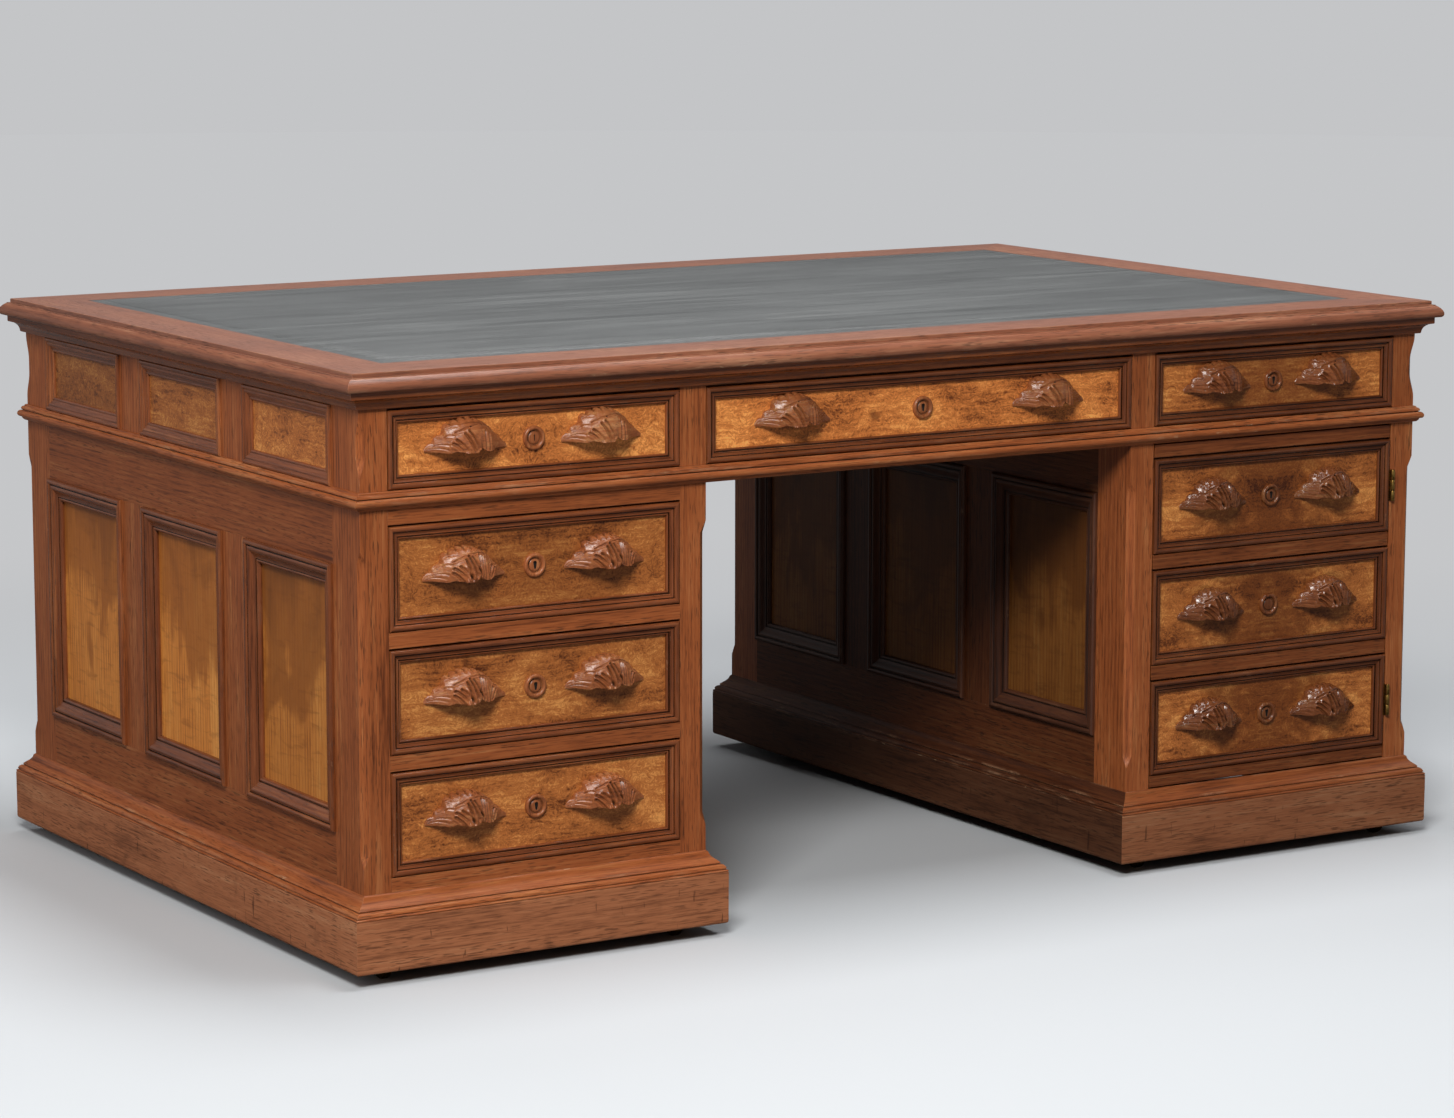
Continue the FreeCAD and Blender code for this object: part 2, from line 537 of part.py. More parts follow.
# Plinths: plain boards and a moulding over them, mitred round each pedestal
def plinth_pieces():
    back = PLINTH_INSIDE
    board_profile = [(f"-{back}", "0"),
                     (f"{PLINTH_OVERHANG} - plinth_arris_radius", "0", "plinth_arris_radius", 1),
                     (PLINTH_OVERHANG, "plinth_arris_radius"), (PLINTH_OVERHANG, "plinth_board_height"),
                     (f"-{back}", "plinth_board_height")]
    quirk_foot = "plinth_lip + plinth_ovolo"
    quirk_head = f"{quirk_foot} + plinth_quirk_rise"
    moulding_profile = [(f"-{back}", "0"), (PLINTH_OVERHANG, "0"),
                        (PLINTH_OVERHANG, "plinth_lip", "plinth_ovolo", 1),
                        ("plinth_cove + plinth_quirk", quirk_foot), ("plinth_cove", quirk_foot),
                        ("plinth_cove", quirk_head, "plinth_cove", -1),
                        ("0", f"{quirk_head} + plinth_cove"),
                        ("0", PLINTH_MOULDING), (f"-{back}", PLINTH_MOULDING)]
    half_x, middle = "pedestal_width / 2", f"-{PEDESTAL_MIDDLE}"
    pieces = mitred_surround("plinth_board", board_profile, half_x, HALF_DEPTH, back, PLINTH_OVERHANG,
                             "floor_gap", middle)
    pieces += mitred_surround("plinth_moulding", moulding_profile, half_x, HALF_DEPTH, back,
                              PLINTH_OVERHANG, BOARD_TOP, middle)
    return both_ways("plinth", pieces)


# A block in each corner of the plinth carries a caster
def corner_blocks():
    reach = f"(caster_inset - {PLINTH_OVERHANG} + plate_width / 2 + block_margin)"
    spans_x = [(f"-({HALF_WIDTH}) + {PLINTH_INSIDE}", f"-({HALF_WIDTH}) + {reach}"),
               (f"-{KNEE} - {reach}", f"-{KNEE} - {PLINTH_INSIDE}")]
    spans_y = [(f"-({HALF_DEPTH}) + {PLINTH_INSIDE}", f"-({HALF_DEPTH}) + {reach}"),
               (f"{HALF_DEPTH} - {reach}", f"{HALF_DEPTH} - {PLINTH_INSIDE}")]
    return [board("corner_block", x, y, (plate_top(), CASE_FOOT)) for x in spans_x for y in spans_y]


# Casters: a plate under each corner block, a fork that swivels in it and a wheel on the fork's axle
def crown_top():
    return "(wheel_diameter + wheel_top_gap + fork_wall)"


def plate_top():
    return f"({crown_top()} + swivel_gap + plate_thickness)"


def caster_pieces():
    foot = f"{crown_top()} + swivel_gap"
    plate_span = ("-plate_width / 2", "plate_width / 2")
    plate = board("plate_blank", plate_span, plate_span, (foot, plate_top()))
    bore = turned("plate_bore", "stem_radius + stem_clearance", "plate_thickness + 2 * cut_overrun",
                  "0", "0", f"{foot} - cut_overrun", (0, 0, 1), PIN_SIDES, on_flats=True)
    cheek_in = "(wheel_width / 2 + wheel_side_gap)"
    cheek_out = f"({cheek_in} + fork_wall)"
    span_y = ("-caster_trail - fork_reach", "fork_reach")
    axle_z = "wheel_diameter / 2"
    cheek_z = (f"{axle_z} - fork_reach", crown_top())
    crown_z = (f"{crown_top()} - fork_wall", crown_top())
    fork = fused("caster_fork", [
        board("fork_crown", (f"-{cheek_out}", cheek_out), span_y, crown_z),
        board("fork_cheek_left", (f"-{cheek_out}", f"-{cheek_in}"), span_y, cheek_z),
        board("fork_cheek_right", (cheek_in, cheek_out), span_y, cheek_z),
        turned("fork_stem", "stem_radius", "fork_wall / 2 + plate_thickness", "0", "0",
               f"{crown_top()} - fork_wall / 2", (0, 0, 1), PIN_SIDES),
        turned("fork_axle", "axle_radius", f"{cheek_in} + {cheek_out}", f"-({cheek_in} + {cheek_out}) / 2",
               "-caster_trail", axle_z, (1, 0, 0), PIN_SIDES)])
    tread = turned("wheel_blank", "wheel_diameter / 2", "wheel_width", "-wheel_width / 2",
                   "-caster_trail", axle_z, (1, 0, 0), RIM_SIDES, on_flats=True)
    hole = turned("wheel_bore", "axle_radius + axle_clearance", "wheel_width + 2 * cut_overrun",
                  "-wheel_width / 2 - cut_overrun", "-caster_trail", axle_z, (1, 0, 0), PIN_SIDES,
                  on_flats=True)
    return less("caster_plate", plate, bore), fork, less("caster_wheel", tread, hole)


def caster_sites():
    inset = f"(caster_inset - {PLINTH_OVERHANG})"
    edges = (("outer", f"({HALF_WIDTH} - {inset})"), ("knee", f"({KNEE} + {inset})"))
    ends = (("front", f"-({HALF_DEPTH} - {inset})", 0), ("back", f"{HALF_DEPTH} - {inset}", 180))
    sites = []
    for pedestal, sign in (("left", "-"), ("right", "")):
        for edge, x in edges:
            for end, y, trail in ends:
                sites.append((f"{pedestal}_{end}_{edge}", f"{sign}{x}", y, trail))
    return sites


# The carved leaf pull stands on the burl at Y 0 and cups downwards: rows of points run from tip to tip
# along the serrated crown, the shoulder, the scalloped lip, the lip's inside and the cup's roof
CROWN_ARCH_SHARE = 0.8
NOTCH_SHARE = 0.86
SHOULDER_SHARES = (0.96, 0.66, 0.72)
LIP_ARCH_SHARE = 0.55
LIP_WIDTH_SHARE = 0.97
ROOF_SHARES = (0.84, 0.62)


def leaf_pull():
    half, drop = number("pull_width / 2"), number("pull_drop")
    rise = number("pull_rise + pull_drop")
    reach, wall, scallop = (number(name) for name in ("pull_projection", "pull_wall", "pull_scallop"))
    tips = [FreeCAD.Vector(sign * half, 0, -drop) for sign in (-1, 1)]
    rows = [[tips[0]] for row in range(5)]
    for station in range(1, LEAF_STATIONS):
        along = 2 * station / LEAF_STATIONS - 1
        arch = 1 - along ** 2
        lobe = station % 2
        crown = rise * arch ** CROWN_ARCH_SHARE * (1 if lobe else NOTCH_SHARE)
        out = reach * arch ** LIP_ARCH_SHARE
        width, height, depth = SHOULDER_SHARES
        inner_width, inner_height = ROOF_SHARES
        lip_z = -drop - (0 if lobe else scallop)
        thick = wall * arch ** LIP_ARCH_SHARE
        rows[0].append(FreeCAD.Vector(half * along, 0, crown - drop))
        rows[1].append(FreeCAD.Vector(half * along * width, -out * depth, crown * height - drop))
        rows[2].append(FreeCAD.Vector(half * along * LIP_WIDTH_SHARE, -out, lip_z))
        rows[3].append(FreeCAD.Vector(half * along * LIP_WIDTH_SHARE, thick - out, lip_z))
        rows[4].append(FreeCAD.Vector(half * along * inner_width, 0, crown * inner_height - drop))
    for row in rows:
        row.append(tips[1])
    facets = []
    for upper, lower in zip(rows, rows[1:] + rows[:1]):
        for index in range(LEAF_STATIONS):
            a, b, c, d = upper[index], upper[index + 1], lower[index + 1], lower[index]
            for corners in ((a, b, c), (a, c, d)):
                if len({tuple(corner) for corner in corners}) == 3:
                    facets.append(Part.Face(Part.makePolygon([*corners, corners[0]])))
    skin = Part.makeCompound(facets)
    skin.sewShape()
    solid = Part.makeSolid(skin.Shells[0])
    if solid.Volume < 0:
        solid.reverse()
    pull = doc.addObject("Part::Feature", "leaf_pull")
    pull.Shape = solid
    return pull


def escutcheon():
    return turned("escutcheon", "escutcheon_diameter / 2", "escutcheon_thickness", "0", "0", "0",
                  (0, -1, 0), BOSS_SIDES)


# Drawers, with the middle of the opening's foot at the origin and the case face on Y 0
FIELD_FACE = "(front_recess - burl_thickness)"


def front_facing(name, width, foot, height):
    member = "drawer_moulding_width"
    field = board(f"{name}_burl", (f"-({width} / 2 - {member})", f"{width} / 2 - {member}"),
                  (FIELD_FACE, "front_recess"), (f"{foot} + {member}", f"{foot} + {height} - {member}"))
    depth = "(front_recess + drawer_moulding_proud)"
    return field, moulding_frame(f"{name}_moulding", width, height, member, depth)


def drawer_pieces(name, opening, height):
    half = f"({opening} / 2 - drawer_gap)"
    side_half = f"({opening} / 2 - drawer_guide_gap)"
    face = f"({height} - 2 * drawer_gap)"
    field, frame = front_facing(name, f"(2 * {half})", "drawer_gap", face)
    front_back = "(front_recess + front_thickness)"
    side = (front_back, DRAWER_LENGTH)
    side_up = ("drawer_slide_gap", f"{height} - drawer_side_drop")
    inside = f"({side_half} - drawer_side_thickness)"
    back = (f"{DRAWER_LENGTH} - drawer_side_thickness", DRAWER_LENGTH)
    return [
        board(f"{name}_front", (f"-{half}", half), ("front_recess", front_back),
              ("drawer_gap", f"{height} - drawer_gap")),
        field,
        group(f"{name}_moulding_place", [frame], "0", "front_recess", "drawer_gap"),
        board(f"{name}_side_left", (f"-{side_half}", f"-{inside}"), side, side_up),
        board(f"{name}_side_right", (inside, side_half), side, side_up),
        board(f"{name}_back", (f"-{inside}", inside), back, ("drawer_bottom_lift", side_up[1])),
        board(f"{name}_bottom", (f"-{inside}", inside), (front_back, back[0]),
              ("drawer_bottom_lift", "drawer_bottom_lift + drawer_bottom_thickness"))]


def pull_pair(name, pull, boss, spacing, middle):
    return [group(f"{name}_pull_left", [pull], f"-{spacing} / 2", FIELD_FACE, middle),
            group(f"{name}_pull_right", [pull], f"{spacing} / 2", FIELD_FACE, middle),
            group(f"{name}_boss", [boss], "0", FIELD_FACE, middle)]


def drawer_fittings(name, pull, boss, spacing, height):
    front_back = "(front_recess + front_thickness)"
    lock = board(f"{name}_lock", ("-lock_width / 2", "lock_width / 2"),
                 (front_back, f"{front_back} + lock_thickness"),
                 (f"{height} - drawer_side_drop - lock_height", f"{height} - drawer_side_drop"))
    return [*pull_pair(name, pull, boss, spacing, f"{height} / 2"), lock]


# The cupboard door, faced as three drawers, and its hinges, in the frame of its opening
HINGE_X = "(pedestal_width / 2 - post_face + knuckle_offset)"
HINGE_Y = "(-knuckle_radius - knuckle_gap)"


def door_pieces():
    half = f"({OPENING_WIDTH} / 2 - door_gap)"
    across = (f"-{half}", half)
    door_foot, door_head = "door_end_gap", f"{CASE_HEIGHT} - door_end_gap"
    slab_depth = ("front_recess", "front_recess + front_thickness")
    pieces = [board("door_slab", across, slab_depth, (door_foot, door_head))]
    rail_foot, rail_head = door_foot, "bottom_rail_height"
    for level in range(DRAWERS_HIGH + 1):
        pieces.append(board("door_rail", across, ("0", "front_recess"), (rail_foot, rail_head)))
        rail_foot = f"{rail_head} + drawer_opening_height"
        rail_head = f"{rail_foot} + rail_height" if level < DRAWERS_HIGH - 1 else door_head
    face = "(drawer_opening_height - 2 * drawer_gap)"
    field, frame = front_facing("door_facing", f"(2 * {half})", "0", face)
    for foot in false_drawer_levels():
        pieces.append(group("door_burl_place", [field], z=f"{foot} + drawer_gap"))
        pieces.append(group("door_moulding_place", [frame], "0", "front_recess", f"{foot} + drawer_gap"))
    return pieces


def false_drawer_levels():
    step = "(drawer_opening_height + rail_height)"
    return [f"(bottom_rail_height + {level} * {step})" for level in range(DRAWERS_HIGH)]


def hinge_leaf(name, face, foot, height, lug_foot, lug_height):
    leaf_y = ("knuckle_gap", "hinge_leaf_width")
    lug_y = (f"{HINGE_Y} - hinge_leaf_thickness / 2", f"{HINGE_Y} + hinge_leaf_thickness / 2")
    lug_z = (lug_foot, f"{lug_foot} + {lug_height}")
    return [board(f"{name}_leaf", face, leaf_y, (foot, f"{foot} + {height}")),
            board(f"{name}_lug", (face[0], HINGE_X), lug_y, lug_z),
            board(f"{name}_neck", face, (HINGE_Y, leaf_y[0]), lug_z)]


def hinge_pieces():
    third = "(hinge_height / 3)"
    post = f"({OPENING_WIDTH} / 2)"
    fixed_face = (f"{post} - hinge_leaf_thickness", post)
    edge = f"({post} - door_gap)"
    door_face = (edge, f"{edge} + hinge_leaf_thickness")
    up = (0, 0, 1)
    knuckle = f"({third} - knuckle_gap)"
    upper_foot = f"2 * {third} + knuckle_gap"
    spot = (HINGE_X, HINGE_Y)
    fixed = hinge_leaf("post", fixed_face, "0", "hinge_height", "0", knuckle)
    fixed += hinge_leaf("post_upper", fixed_face, "0", "hinge_height", upper_foot, knuckle)[1:]
    fixed += [turned("knuckle_low", "knuckle_radius", knuckle, *spot, "0", up, PIN_SIDES),
              turned("knuckle_high", "knuckle_radius", knuckle, *spot, upper_foot, up, PIN_SIDES),
              turned("hinge_pin", "pin_radius", f"hinge_height - {knuckle}", *spot, f"{knuckle} / 2", up,
                     PIN_SIDES)]
    moving = hinge_leaf("door", door_face, "0", "hinge_height", third, third)
    moving.append(turned("knuckle_middle", "knuckle_radius", third, *spot, third, up, PIN_SIDES))
    bore = turned("knuckle_bore", "pin_radius + pin_clearance", "hinge_height + 2 * cut_overrun", *spot,
                  "-cut_overrun", up, PIN_SIDES, on_flats=True)
    return fused("post_hinge", fixed), less("door_hinge", fused("door_hinge_blank", moving), bore)


def hinge_levels():
    shares = ("hinge_low_share", "hinge_high_share")
    return [f"({share} * {CASE_HEIGHT} - hinge_height / 2)" for share in shares]


# Every node, with its label
def both_sides():
    return (("front", "", "-", 0), ("back", "-", "", 180))


nodes = []


def node(label, pieces, x="0", y="0", z="0", turn=0):
    bundle = group(label, pieces, x, y, z, turn)
    bundle.Label = label
    nodes.append(bundle)


border, bed, leather = top_pieces()
node("top_border_boards", border)
node("top_bed", bed)
node("leather_inset", leather)
node("cornice_moulding", cornice_pieces())
node("waist_moulding", waist_pieces())
node("frieze_frame", frieze_frame_pieces())
node("frieze_dividers", frieze_inner_pieces())
pedestal_frame, pedestal_inner = pedestal_frame_pieces(), pedestal_inner_pieces()
for side, turn in (("left", 0), ("right", 180)):
    node(f"{side}_pedestal_frame", pedestal_frame, turn=turn)
    node(f"{side}_pedestal_boards", pedestal_inner, turn=turn)
panels, panel_mouldings = panel_pieces()
node("side_panels", panels)
node("side_panel_mouldings", panel_mouldings)
node("plinths", plinth_pieces())

plate, fork, wheel = caster_pieces()
plates = []
for site, x, y, trail in caster_sites():
    plates.append(group(f"{site}_plate", [plate], x, y, turn=trail))
    node(f"{site}_caster_fork", [fork], x, y, turn=trail)
    node(f"{site}_caster_wheel", [wheel], x, y, turn=trail)
node("caster_plates", plates)

pull, boss = leaf_pull(), escutcheon()
kinds = {
    "pedestal": (OPENING_WIDTH, "drawer_opening_height", "pedestal_pull_share"),
    "small": (OPENING_WIDTH, "frieze_opening_height", "small_pull_share"),
    "centre": (CENTRE_OPENING, "frieze_opening_height", "centre_pull_share"),
}
boxes = {kind: drawer_pieces(kind, opening, height) for kind, (opening, height, share) in kinds.items()}
fittings = {kind: drawer_fittings(kind, pull, boss, f"({share} * {opening})", height)
            for kind, (opening, height, share) in kinds.items()}
sites = [("left_frieze_drawer", "small", f"-{PEDESTAL_MIDDLE}", WAIST_TOP),
         ("centre_frieze_drawer", "centre", "0", WAIST_TOP),
         ("right_frieze_drawer", "small", PEDESTAL_MIDDLE, WAIST_TOP)]
for name, level in zip(("lower", "middle", "upper"), drawer_levels()):
    sites.append((f"{name}_pedestal_drawer", "pedestal", f"-{PEDESTAL_MIDDLE}", level))
for side, sign, depth_sign, turn in both_sides():
    for name, kind, x, z in sites:
        y = f"{depth_sign}({HALF_DEPTH})"
        node(f"{side}_{name}", boxes[kind], f"{sign}({x})", y, z, turn)
        node(f"{side}_{name}_fittings", fittings[kind], f"{sign}({x})", y, z, turn)

door = door_pieces()
post_hinge, door_hinge = hinge_pieces()
door_fittings = [group("door_hinge_place", [door_hinge], z=level) for level in hinge_levels()]
door_spacing = f"(pedestal_pull_share * {OPENING_WIDTH})"
for level in false_drawer_levels():
    middle = f"{level} + drawer_opening_height / 2"
    door_fittings += pull_pair("door", pull, boss, door_spacing, middle)
post_hinges = [group("post_hinge_place", [post_hinge], z=level) for level in hinge_levels()]
fixed_hinges = []
for side, sign, depth_sign, turn in both_sides():
    spot = (f"{sign}{PEDESTAL_MIDDLE}", f"{depth_sign}({HALF_DEPTH})", CASE_FOOT, turn)
    node(f"{side}_cupboard_door", door, *spot)
    node(f"{side}_cupboard_door_fittings", door_fittings, *spot)
    fixed_hinges.append(group(f"{side}_post_hinges", post_hinges, *spot))
node("post_hinges", fixed_hinges)

doc.recompute()
faults = [piece.Name for piece in doc.Objects if {"Invalid", "Error"} & set(piece.State)]
if faults:
    raise RuntimeError(f"failed pieces: {faults}")
for piece in nodes:
    if piece.Shape.isNull() or not piece.Shape.isValid() or not piece.Shape.Solids:
        raise RuntimeError(f"bad shape: {piece.Label}")
os.makedirs("parts", exist_ok=True)
for piece in nodes:
    piece.Shape.exportStep(f"parts/{piece.Label}.step")
solids = sum(len(piece.Shape.Solids) for piece in nodes)
print(f"{len(nodes)} nodes, {solids} solids")
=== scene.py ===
import math
import bmesh
import bpy
import numpy as np
from mathutils import Euler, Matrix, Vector


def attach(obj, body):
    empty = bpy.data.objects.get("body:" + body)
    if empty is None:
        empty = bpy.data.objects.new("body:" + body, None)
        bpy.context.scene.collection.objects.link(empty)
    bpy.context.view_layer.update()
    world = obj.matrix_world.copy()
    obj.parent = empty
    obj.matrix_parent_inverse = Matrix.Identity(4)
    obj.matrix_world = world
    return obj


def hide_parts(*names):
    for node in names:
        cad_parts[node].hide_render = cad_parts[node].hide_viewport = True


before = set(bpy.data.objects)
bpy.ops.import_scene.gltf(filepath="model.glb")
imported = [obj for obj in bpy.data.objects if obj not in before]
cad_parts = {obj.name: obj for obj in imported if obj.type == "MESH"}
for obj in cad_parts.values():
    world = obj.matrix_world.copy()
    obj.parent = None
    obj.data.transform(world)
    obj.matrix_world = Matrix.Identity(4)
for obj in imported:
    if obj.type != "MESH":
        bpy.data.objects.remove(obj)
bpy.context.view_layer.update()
scene = bpy.context.scene
rng = np.random.default_rng(11)
print("frame loaded:", len(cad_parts), "nodes")


# a node tree with short calls for its nodes: an input is a plain value or another node's output to link
class ShaderTree:
    def __init__(self, nodeTree):
        self.nodeTree = nodeTree

    def feed(self, socket, value):
        if isinstance(value, bpy.types.NodeSocket):
            self.nodeTree.links.new(value, socket)
        else:
            socket.default_value = value

    def node(self, kind, inputs=None, **settings):
        made = self.nodeTree.nodes.new(kind)
        for key, value in settings.items():
            setattr(made, key, value)
        for key, value in (inputs or {}).items():
            self.feed(made.inputs[key], value)
        return made.outputs

    def maths(self, operation, *values, clamp=False):
        return self.node("ShaderNodeMath", dict(enumerate(values)), operation=operation, use_clamp=clamp)[0]

    def add(self, a, b):
        return self.maths("ADD", a, b)

    def times(self, a, b):
        return self.maths("MULTIPLY", a, b)

    def most(self, a, b):
        return self.maths("MAXIMUM", a, b)

    def swing(self, value, amount):  # how far a noise leaves its middle, times an amount
        return self.times(self.maths("SUBTRACT", value, 0.5), amount)

    def mix(self, factor, a, b, blend="MIX"):
        return self.node("ShaderNodeMix", {0: factor, 6: a, 7: b}, data_type="RGBA", blend_type=blend)[2]

    def vector(self, operation, *values):
        return self.node("ShaderNodeVectorMath", dict(enumerate(values)), operation=operation)

    def stretch(self, coord, scale):
        return self.vector("MULTIPLY", coord, scale)[0]

    def noise(self, coord, scale, detail=3.0, distortion=0.0, rough=0.55):  # one scale, or one for each axis
        if isinstance(scale, tuple):
            coord, scale = self.stretch(coord, scale), 1.0
        inputs = {"Vector": coord, "Scale": scale, "Detail": detail, "Roughness": rough,
                  "Distortion": distortion}
        return self.node("ShaderNodeTexNoise", inputs)[0]

    def ramp(self, value, low, high, toLow=0.0, toHigh=1.0):  # a smooth step from low to high
        inputs = dict(enumerate((value, low, high, toLow, toHigh)))
        return self.node("ShaderNodeMapRange", inputs, interpolation_type="SMOOTHSTEP")[0]

    def spots(self, coord, scale, channel, chosen, size, depth=1.0):  # a few cells, strongest at the middle
        cells = self.node("ShaderNodeTexVoronoi", {"Vector": coord, "Scale": scale})
        draw = self.node("ShaderNodeSeparateColor", {0: cells["Color"]})[channel]
        return self.times(self.ramp(cells["Distance"], *size, 0.0, depth), self.ramp(draw, *chosen))

    def attribute(self, name, output="Vector"):
        return self.node("ShaderNodeAttribute", attribute_name=name)[output]

    def objectCoord(self):
        return self.node("ShaderNodeTexCoord")["Object"]

    def split(self, vector):
        return self.node("ShaderNodeSeparateXYZ", {0: vector})

    def effect(self, group, **inputs):
        return self.node("ShaderNodeGroup", inputs, node_tree=group)


figureInputs = ("Coord", "Dark", "Mid", "Light")
socketKinds = dict.fromkeys(("Dark", "Mid", "Light", "Color"), "NodeSocketColor")
socketKinds["Coord"] = "NodeSocketVector"  # the others carry plain values


def newGroup(name, inputs, outputs):
    group = bpy.data.node_groups.new(name, "ShaderNodeTree")
    for way, labels in (("INPUT", inputs), ("OUTPUT", outputs)):
        for label in labels:
            kind = socketKinds.get(label, "NodeSocketFloat")
            group.interface.new_socket(label, in_out=way, socket_type=kind)
    given = group.nodes.new("NodeGroupInput").outputs
    return ShaderTree(group), given, group.nodes.new("NodeGroupOutput").inputs


# straight grain along the board: soft bands, growth lines, fibres and short dark pores
def makeGrainGroup():
    tree, given, put = newGroup("walnutGrain", figureInputs + ("Figure", "Pores"),
                                ("Color", "Height", "Gloss"))
    coord = given["Coord"]
    bands = tree.noise(coord, (1.4, 60, 60), 4, 0.25)
    mottle = tree.noise(coord, (5, 14, 14), 2, 0.3)
    rings = {"Vector": tree.stretch(coord, (0.10, 1, 1)), "Scale": 40.0, "Distortion": 6.0, "Detail": 2.0,
             "Detail Scale": 0.6}
    lines = tree.node("ShaderNodeTexWave", rings, bands_direction="Y")[1]
    fibres = tree.noise(coord, (14, 380, 380), 3, 0.0, 0.7)
    pores = tree.ramp(tree.noise(coord, (45, 620, 620), 1), 0.55, 0.67)
    pores = tree.times(pores, tree.ramp(bands, 0.35, 0.65, 0.3, 1.0))
    tone = tree.swing(bands, 0.55)
    for pattern, amount in ((lines, given["Figure"]), (fibres, 1.0), (mottle, 0.55)):
        tone = tree.add(tone, tree.swing(pattern, amount))
    tone = tree.add(tone, 0.5)
    colour = tree.mix(tree.ramp(tone, 0.12, 0.52), given["Dark"], given["Mid"])
    colour = tree.mix(tree.ramp(tone, 0.48, 0.92), colour, given["Light"])
    stain = tree.mix(0.8, colour, (0.02, 0.008, 0.004, 1))
    tree.feed(put["Color"], tree.mix(tree.times(pores, given["Pores"]), colour, stain))
    tree.feed(put["Height"], tree.maths("SUBTRACT", tree.times(fibres, 0.35), tree.times(pores, 0.6)))
    tree.feed(put["Gloss"], tree.add(tree.times(mottle, 0.16), tree.times(pores, 0.12)))
    return tree.nodeTree


# burl: fibres bent into curls by a strong warp, calmer stretches, soft clouds, dark eyes and a few knots
def makeBurlGroup():
    tree, given, put = newGroup("burlFigure", figureInputs + ("Eyes", "Calm"), ("Color", "Height"))
    coord = given["Coord"]
    warp = {"Vector": coord, "Scale": 13.0, "Detail": 4.0, "Roughness": 0.6}
    drift = tree.vector("SUBTRACT", tree.node("ShaderNodeTexNoise", warp)[1], (0.5,) * 3)[0]
    warped, gentle = [tree.vector("MULTIPLY_ADD", drift, (size,) * 3, coord)[0] for size in (0.11, 0.03)]
    curls = tree.noise(warped, (70, 180, 180), 5, 0.4, 0.68)
    hairs = tree.noise(warped, (170, 380, 380), 3, 0.0, 0.7)
    clouds = tree.noise(coord, (9, 16, 16), 4, 0.8)
    calm = tree.ramp(tree.noise(coord, 4.5, 2, 0.4), 0.36, 0.54)  # where the fibres lie nearly straight
    calm = tree.most(calm, given["Calm"])
    straight = tree.noise(gentle, (16, 210, 210), 4, 0.3, 0.7)
    curls = tree.node("ShaderNodeMix", {0: calm, 2: curls, 3: straight}, data_type="FLOAT")[0]
    eyes = tree.spots(warped, 85.0, 0, (0.62, 0.8), (0.42, 0.10))
    for share in (tree.ramp(clouds, 0.62, 0.40), tree.maths("SUBTRACT", 1.0, calm), given["Eyes"]):
        eyes = tree.times(eyes, share)
    knots = tree.spots(tree.stretch(warped, (11, 15, 15)), 1.0, 1, (0.55, 0.60), (0.16, 0.03), 0.8)
    tone = tree.swing(clouds, 1.35)
    for pattern, amount in ((curls, 1.25), (hairs, 1.3)):
        tone = tree.add(tone, tree.swing(pattern, amount))
    colour = tree.mix(tree.ramp(tone, -0.50, 0.06), given["Dark"], given["Mid"])
    colour = tree.mix(tree.ramp(tone, 0.0, 0.48), colour, given["Light"])
    stain = tree.mix(0.85, colour, given["Dark"], "MULTIPLY")
    tree.feed(put["Color"], tree.mix(tree.most(eyes, knots), colour, stain))
    tree.feed(put["Height"], tree.add(tree.times(hairs, 0.4), curls))
    return tree.nodeTree


# rubbed edges: moulding ridges, and where a rounded-over normal leaves the face's normal, broken up by noise;
# chips are small knocks through to the bare wood on the same edges
def makeWearGroup():
    tree, given, put = newGroup("rubbedEdges", ("Coord", "Reach"), ("Mask", "Chips"))
    coord = given["Coord"]
    rounded = tree.node("ShaderNodeBevel", {"Radius": 0.0022}, samples=6)[0]
    along = tree.vector("DOT_PRODUCT", rounded, tree.node("ShaderNodeNewGeometry")["Normal"])["Value"]
    edge = tree.most(tree.ramp(along, 0.985, 0.80), tree.ramp(tree.attribute("ridge", "Fac"), 0.30, 0.85))
    patchy = tree.noise(coord, (14, 60, 60), 5, 0.5, 0.7)
    mask = tree.times(edge, tree.ramp(patchy, 0.48, 0.74, 0.0, 0.8))
    knocks = tree.ramp(tree.noise(coord, (60, 150, 150), 2), 0.62, 0.67)
    knocks = tree.times(knocks, tree.ramp(tree.noise(coord, 3.0, 2), 0.57, 0.64))
    knocks = tree.times(knocks, tree.ramp(edge, 0.3, 0.7))
    for label, amount in (("Mask", mask), ("Chips", knocks)):
        tree.feed(put[label], tree.maths("MULTIPLY", amount, given["Reach"], clamp=True))
    return tree.nodeTree


# grime and painted shade that stay in quirks and carving, from how closed in a point is
def makeGrimeAndShadeGroup():
    tree, given, put = newGroup("recessGrimeAndShade", ("Amount",), ("Mask",))
    closed = tree.node("ShaderNodeAmbientOcclusion", {"Distance": 0.008}, samples=6, only_local=True)["AO"]
    tree.feed(put["Mask"], tree.times(tree.ramp(closed, 0.75, 0.25), given["Amount"]))
    return tree.nodeTree


# knocks and mop stains: upright dark dashes and blotches that gather near the floor
def makeScuffGroup():
    tree, _, put = newGroup("plinthScuffs", (), ("Mask",))
    coord = tree.objectCoord()
    low = tree.ramp(tree.split(coord)[2], 0.13, 0.03)
    dashes = tree.ramp(tree.noise(coord, (120, 120, 26), 2), 0.66, 0.74)
    blots = tree.ramp(tree.noise(coord, (14, 14, 20), 4, 0.6), 0.55, 0.75, 0.0, 0.35)
    tree.feed(put["Mask"], tree.times(low, tree.most(tree.times(dashes, 0.7), blots)))
    return tree.nodeTree


scuffGroup, grainGroup, burlGroup = makeScuffGroup(), makeGrainGroup(), makeBurlGroup()
wearGroup, grimeAndShadeGroup = makeWearGroup(), makeGrimeAndShadeGroup()


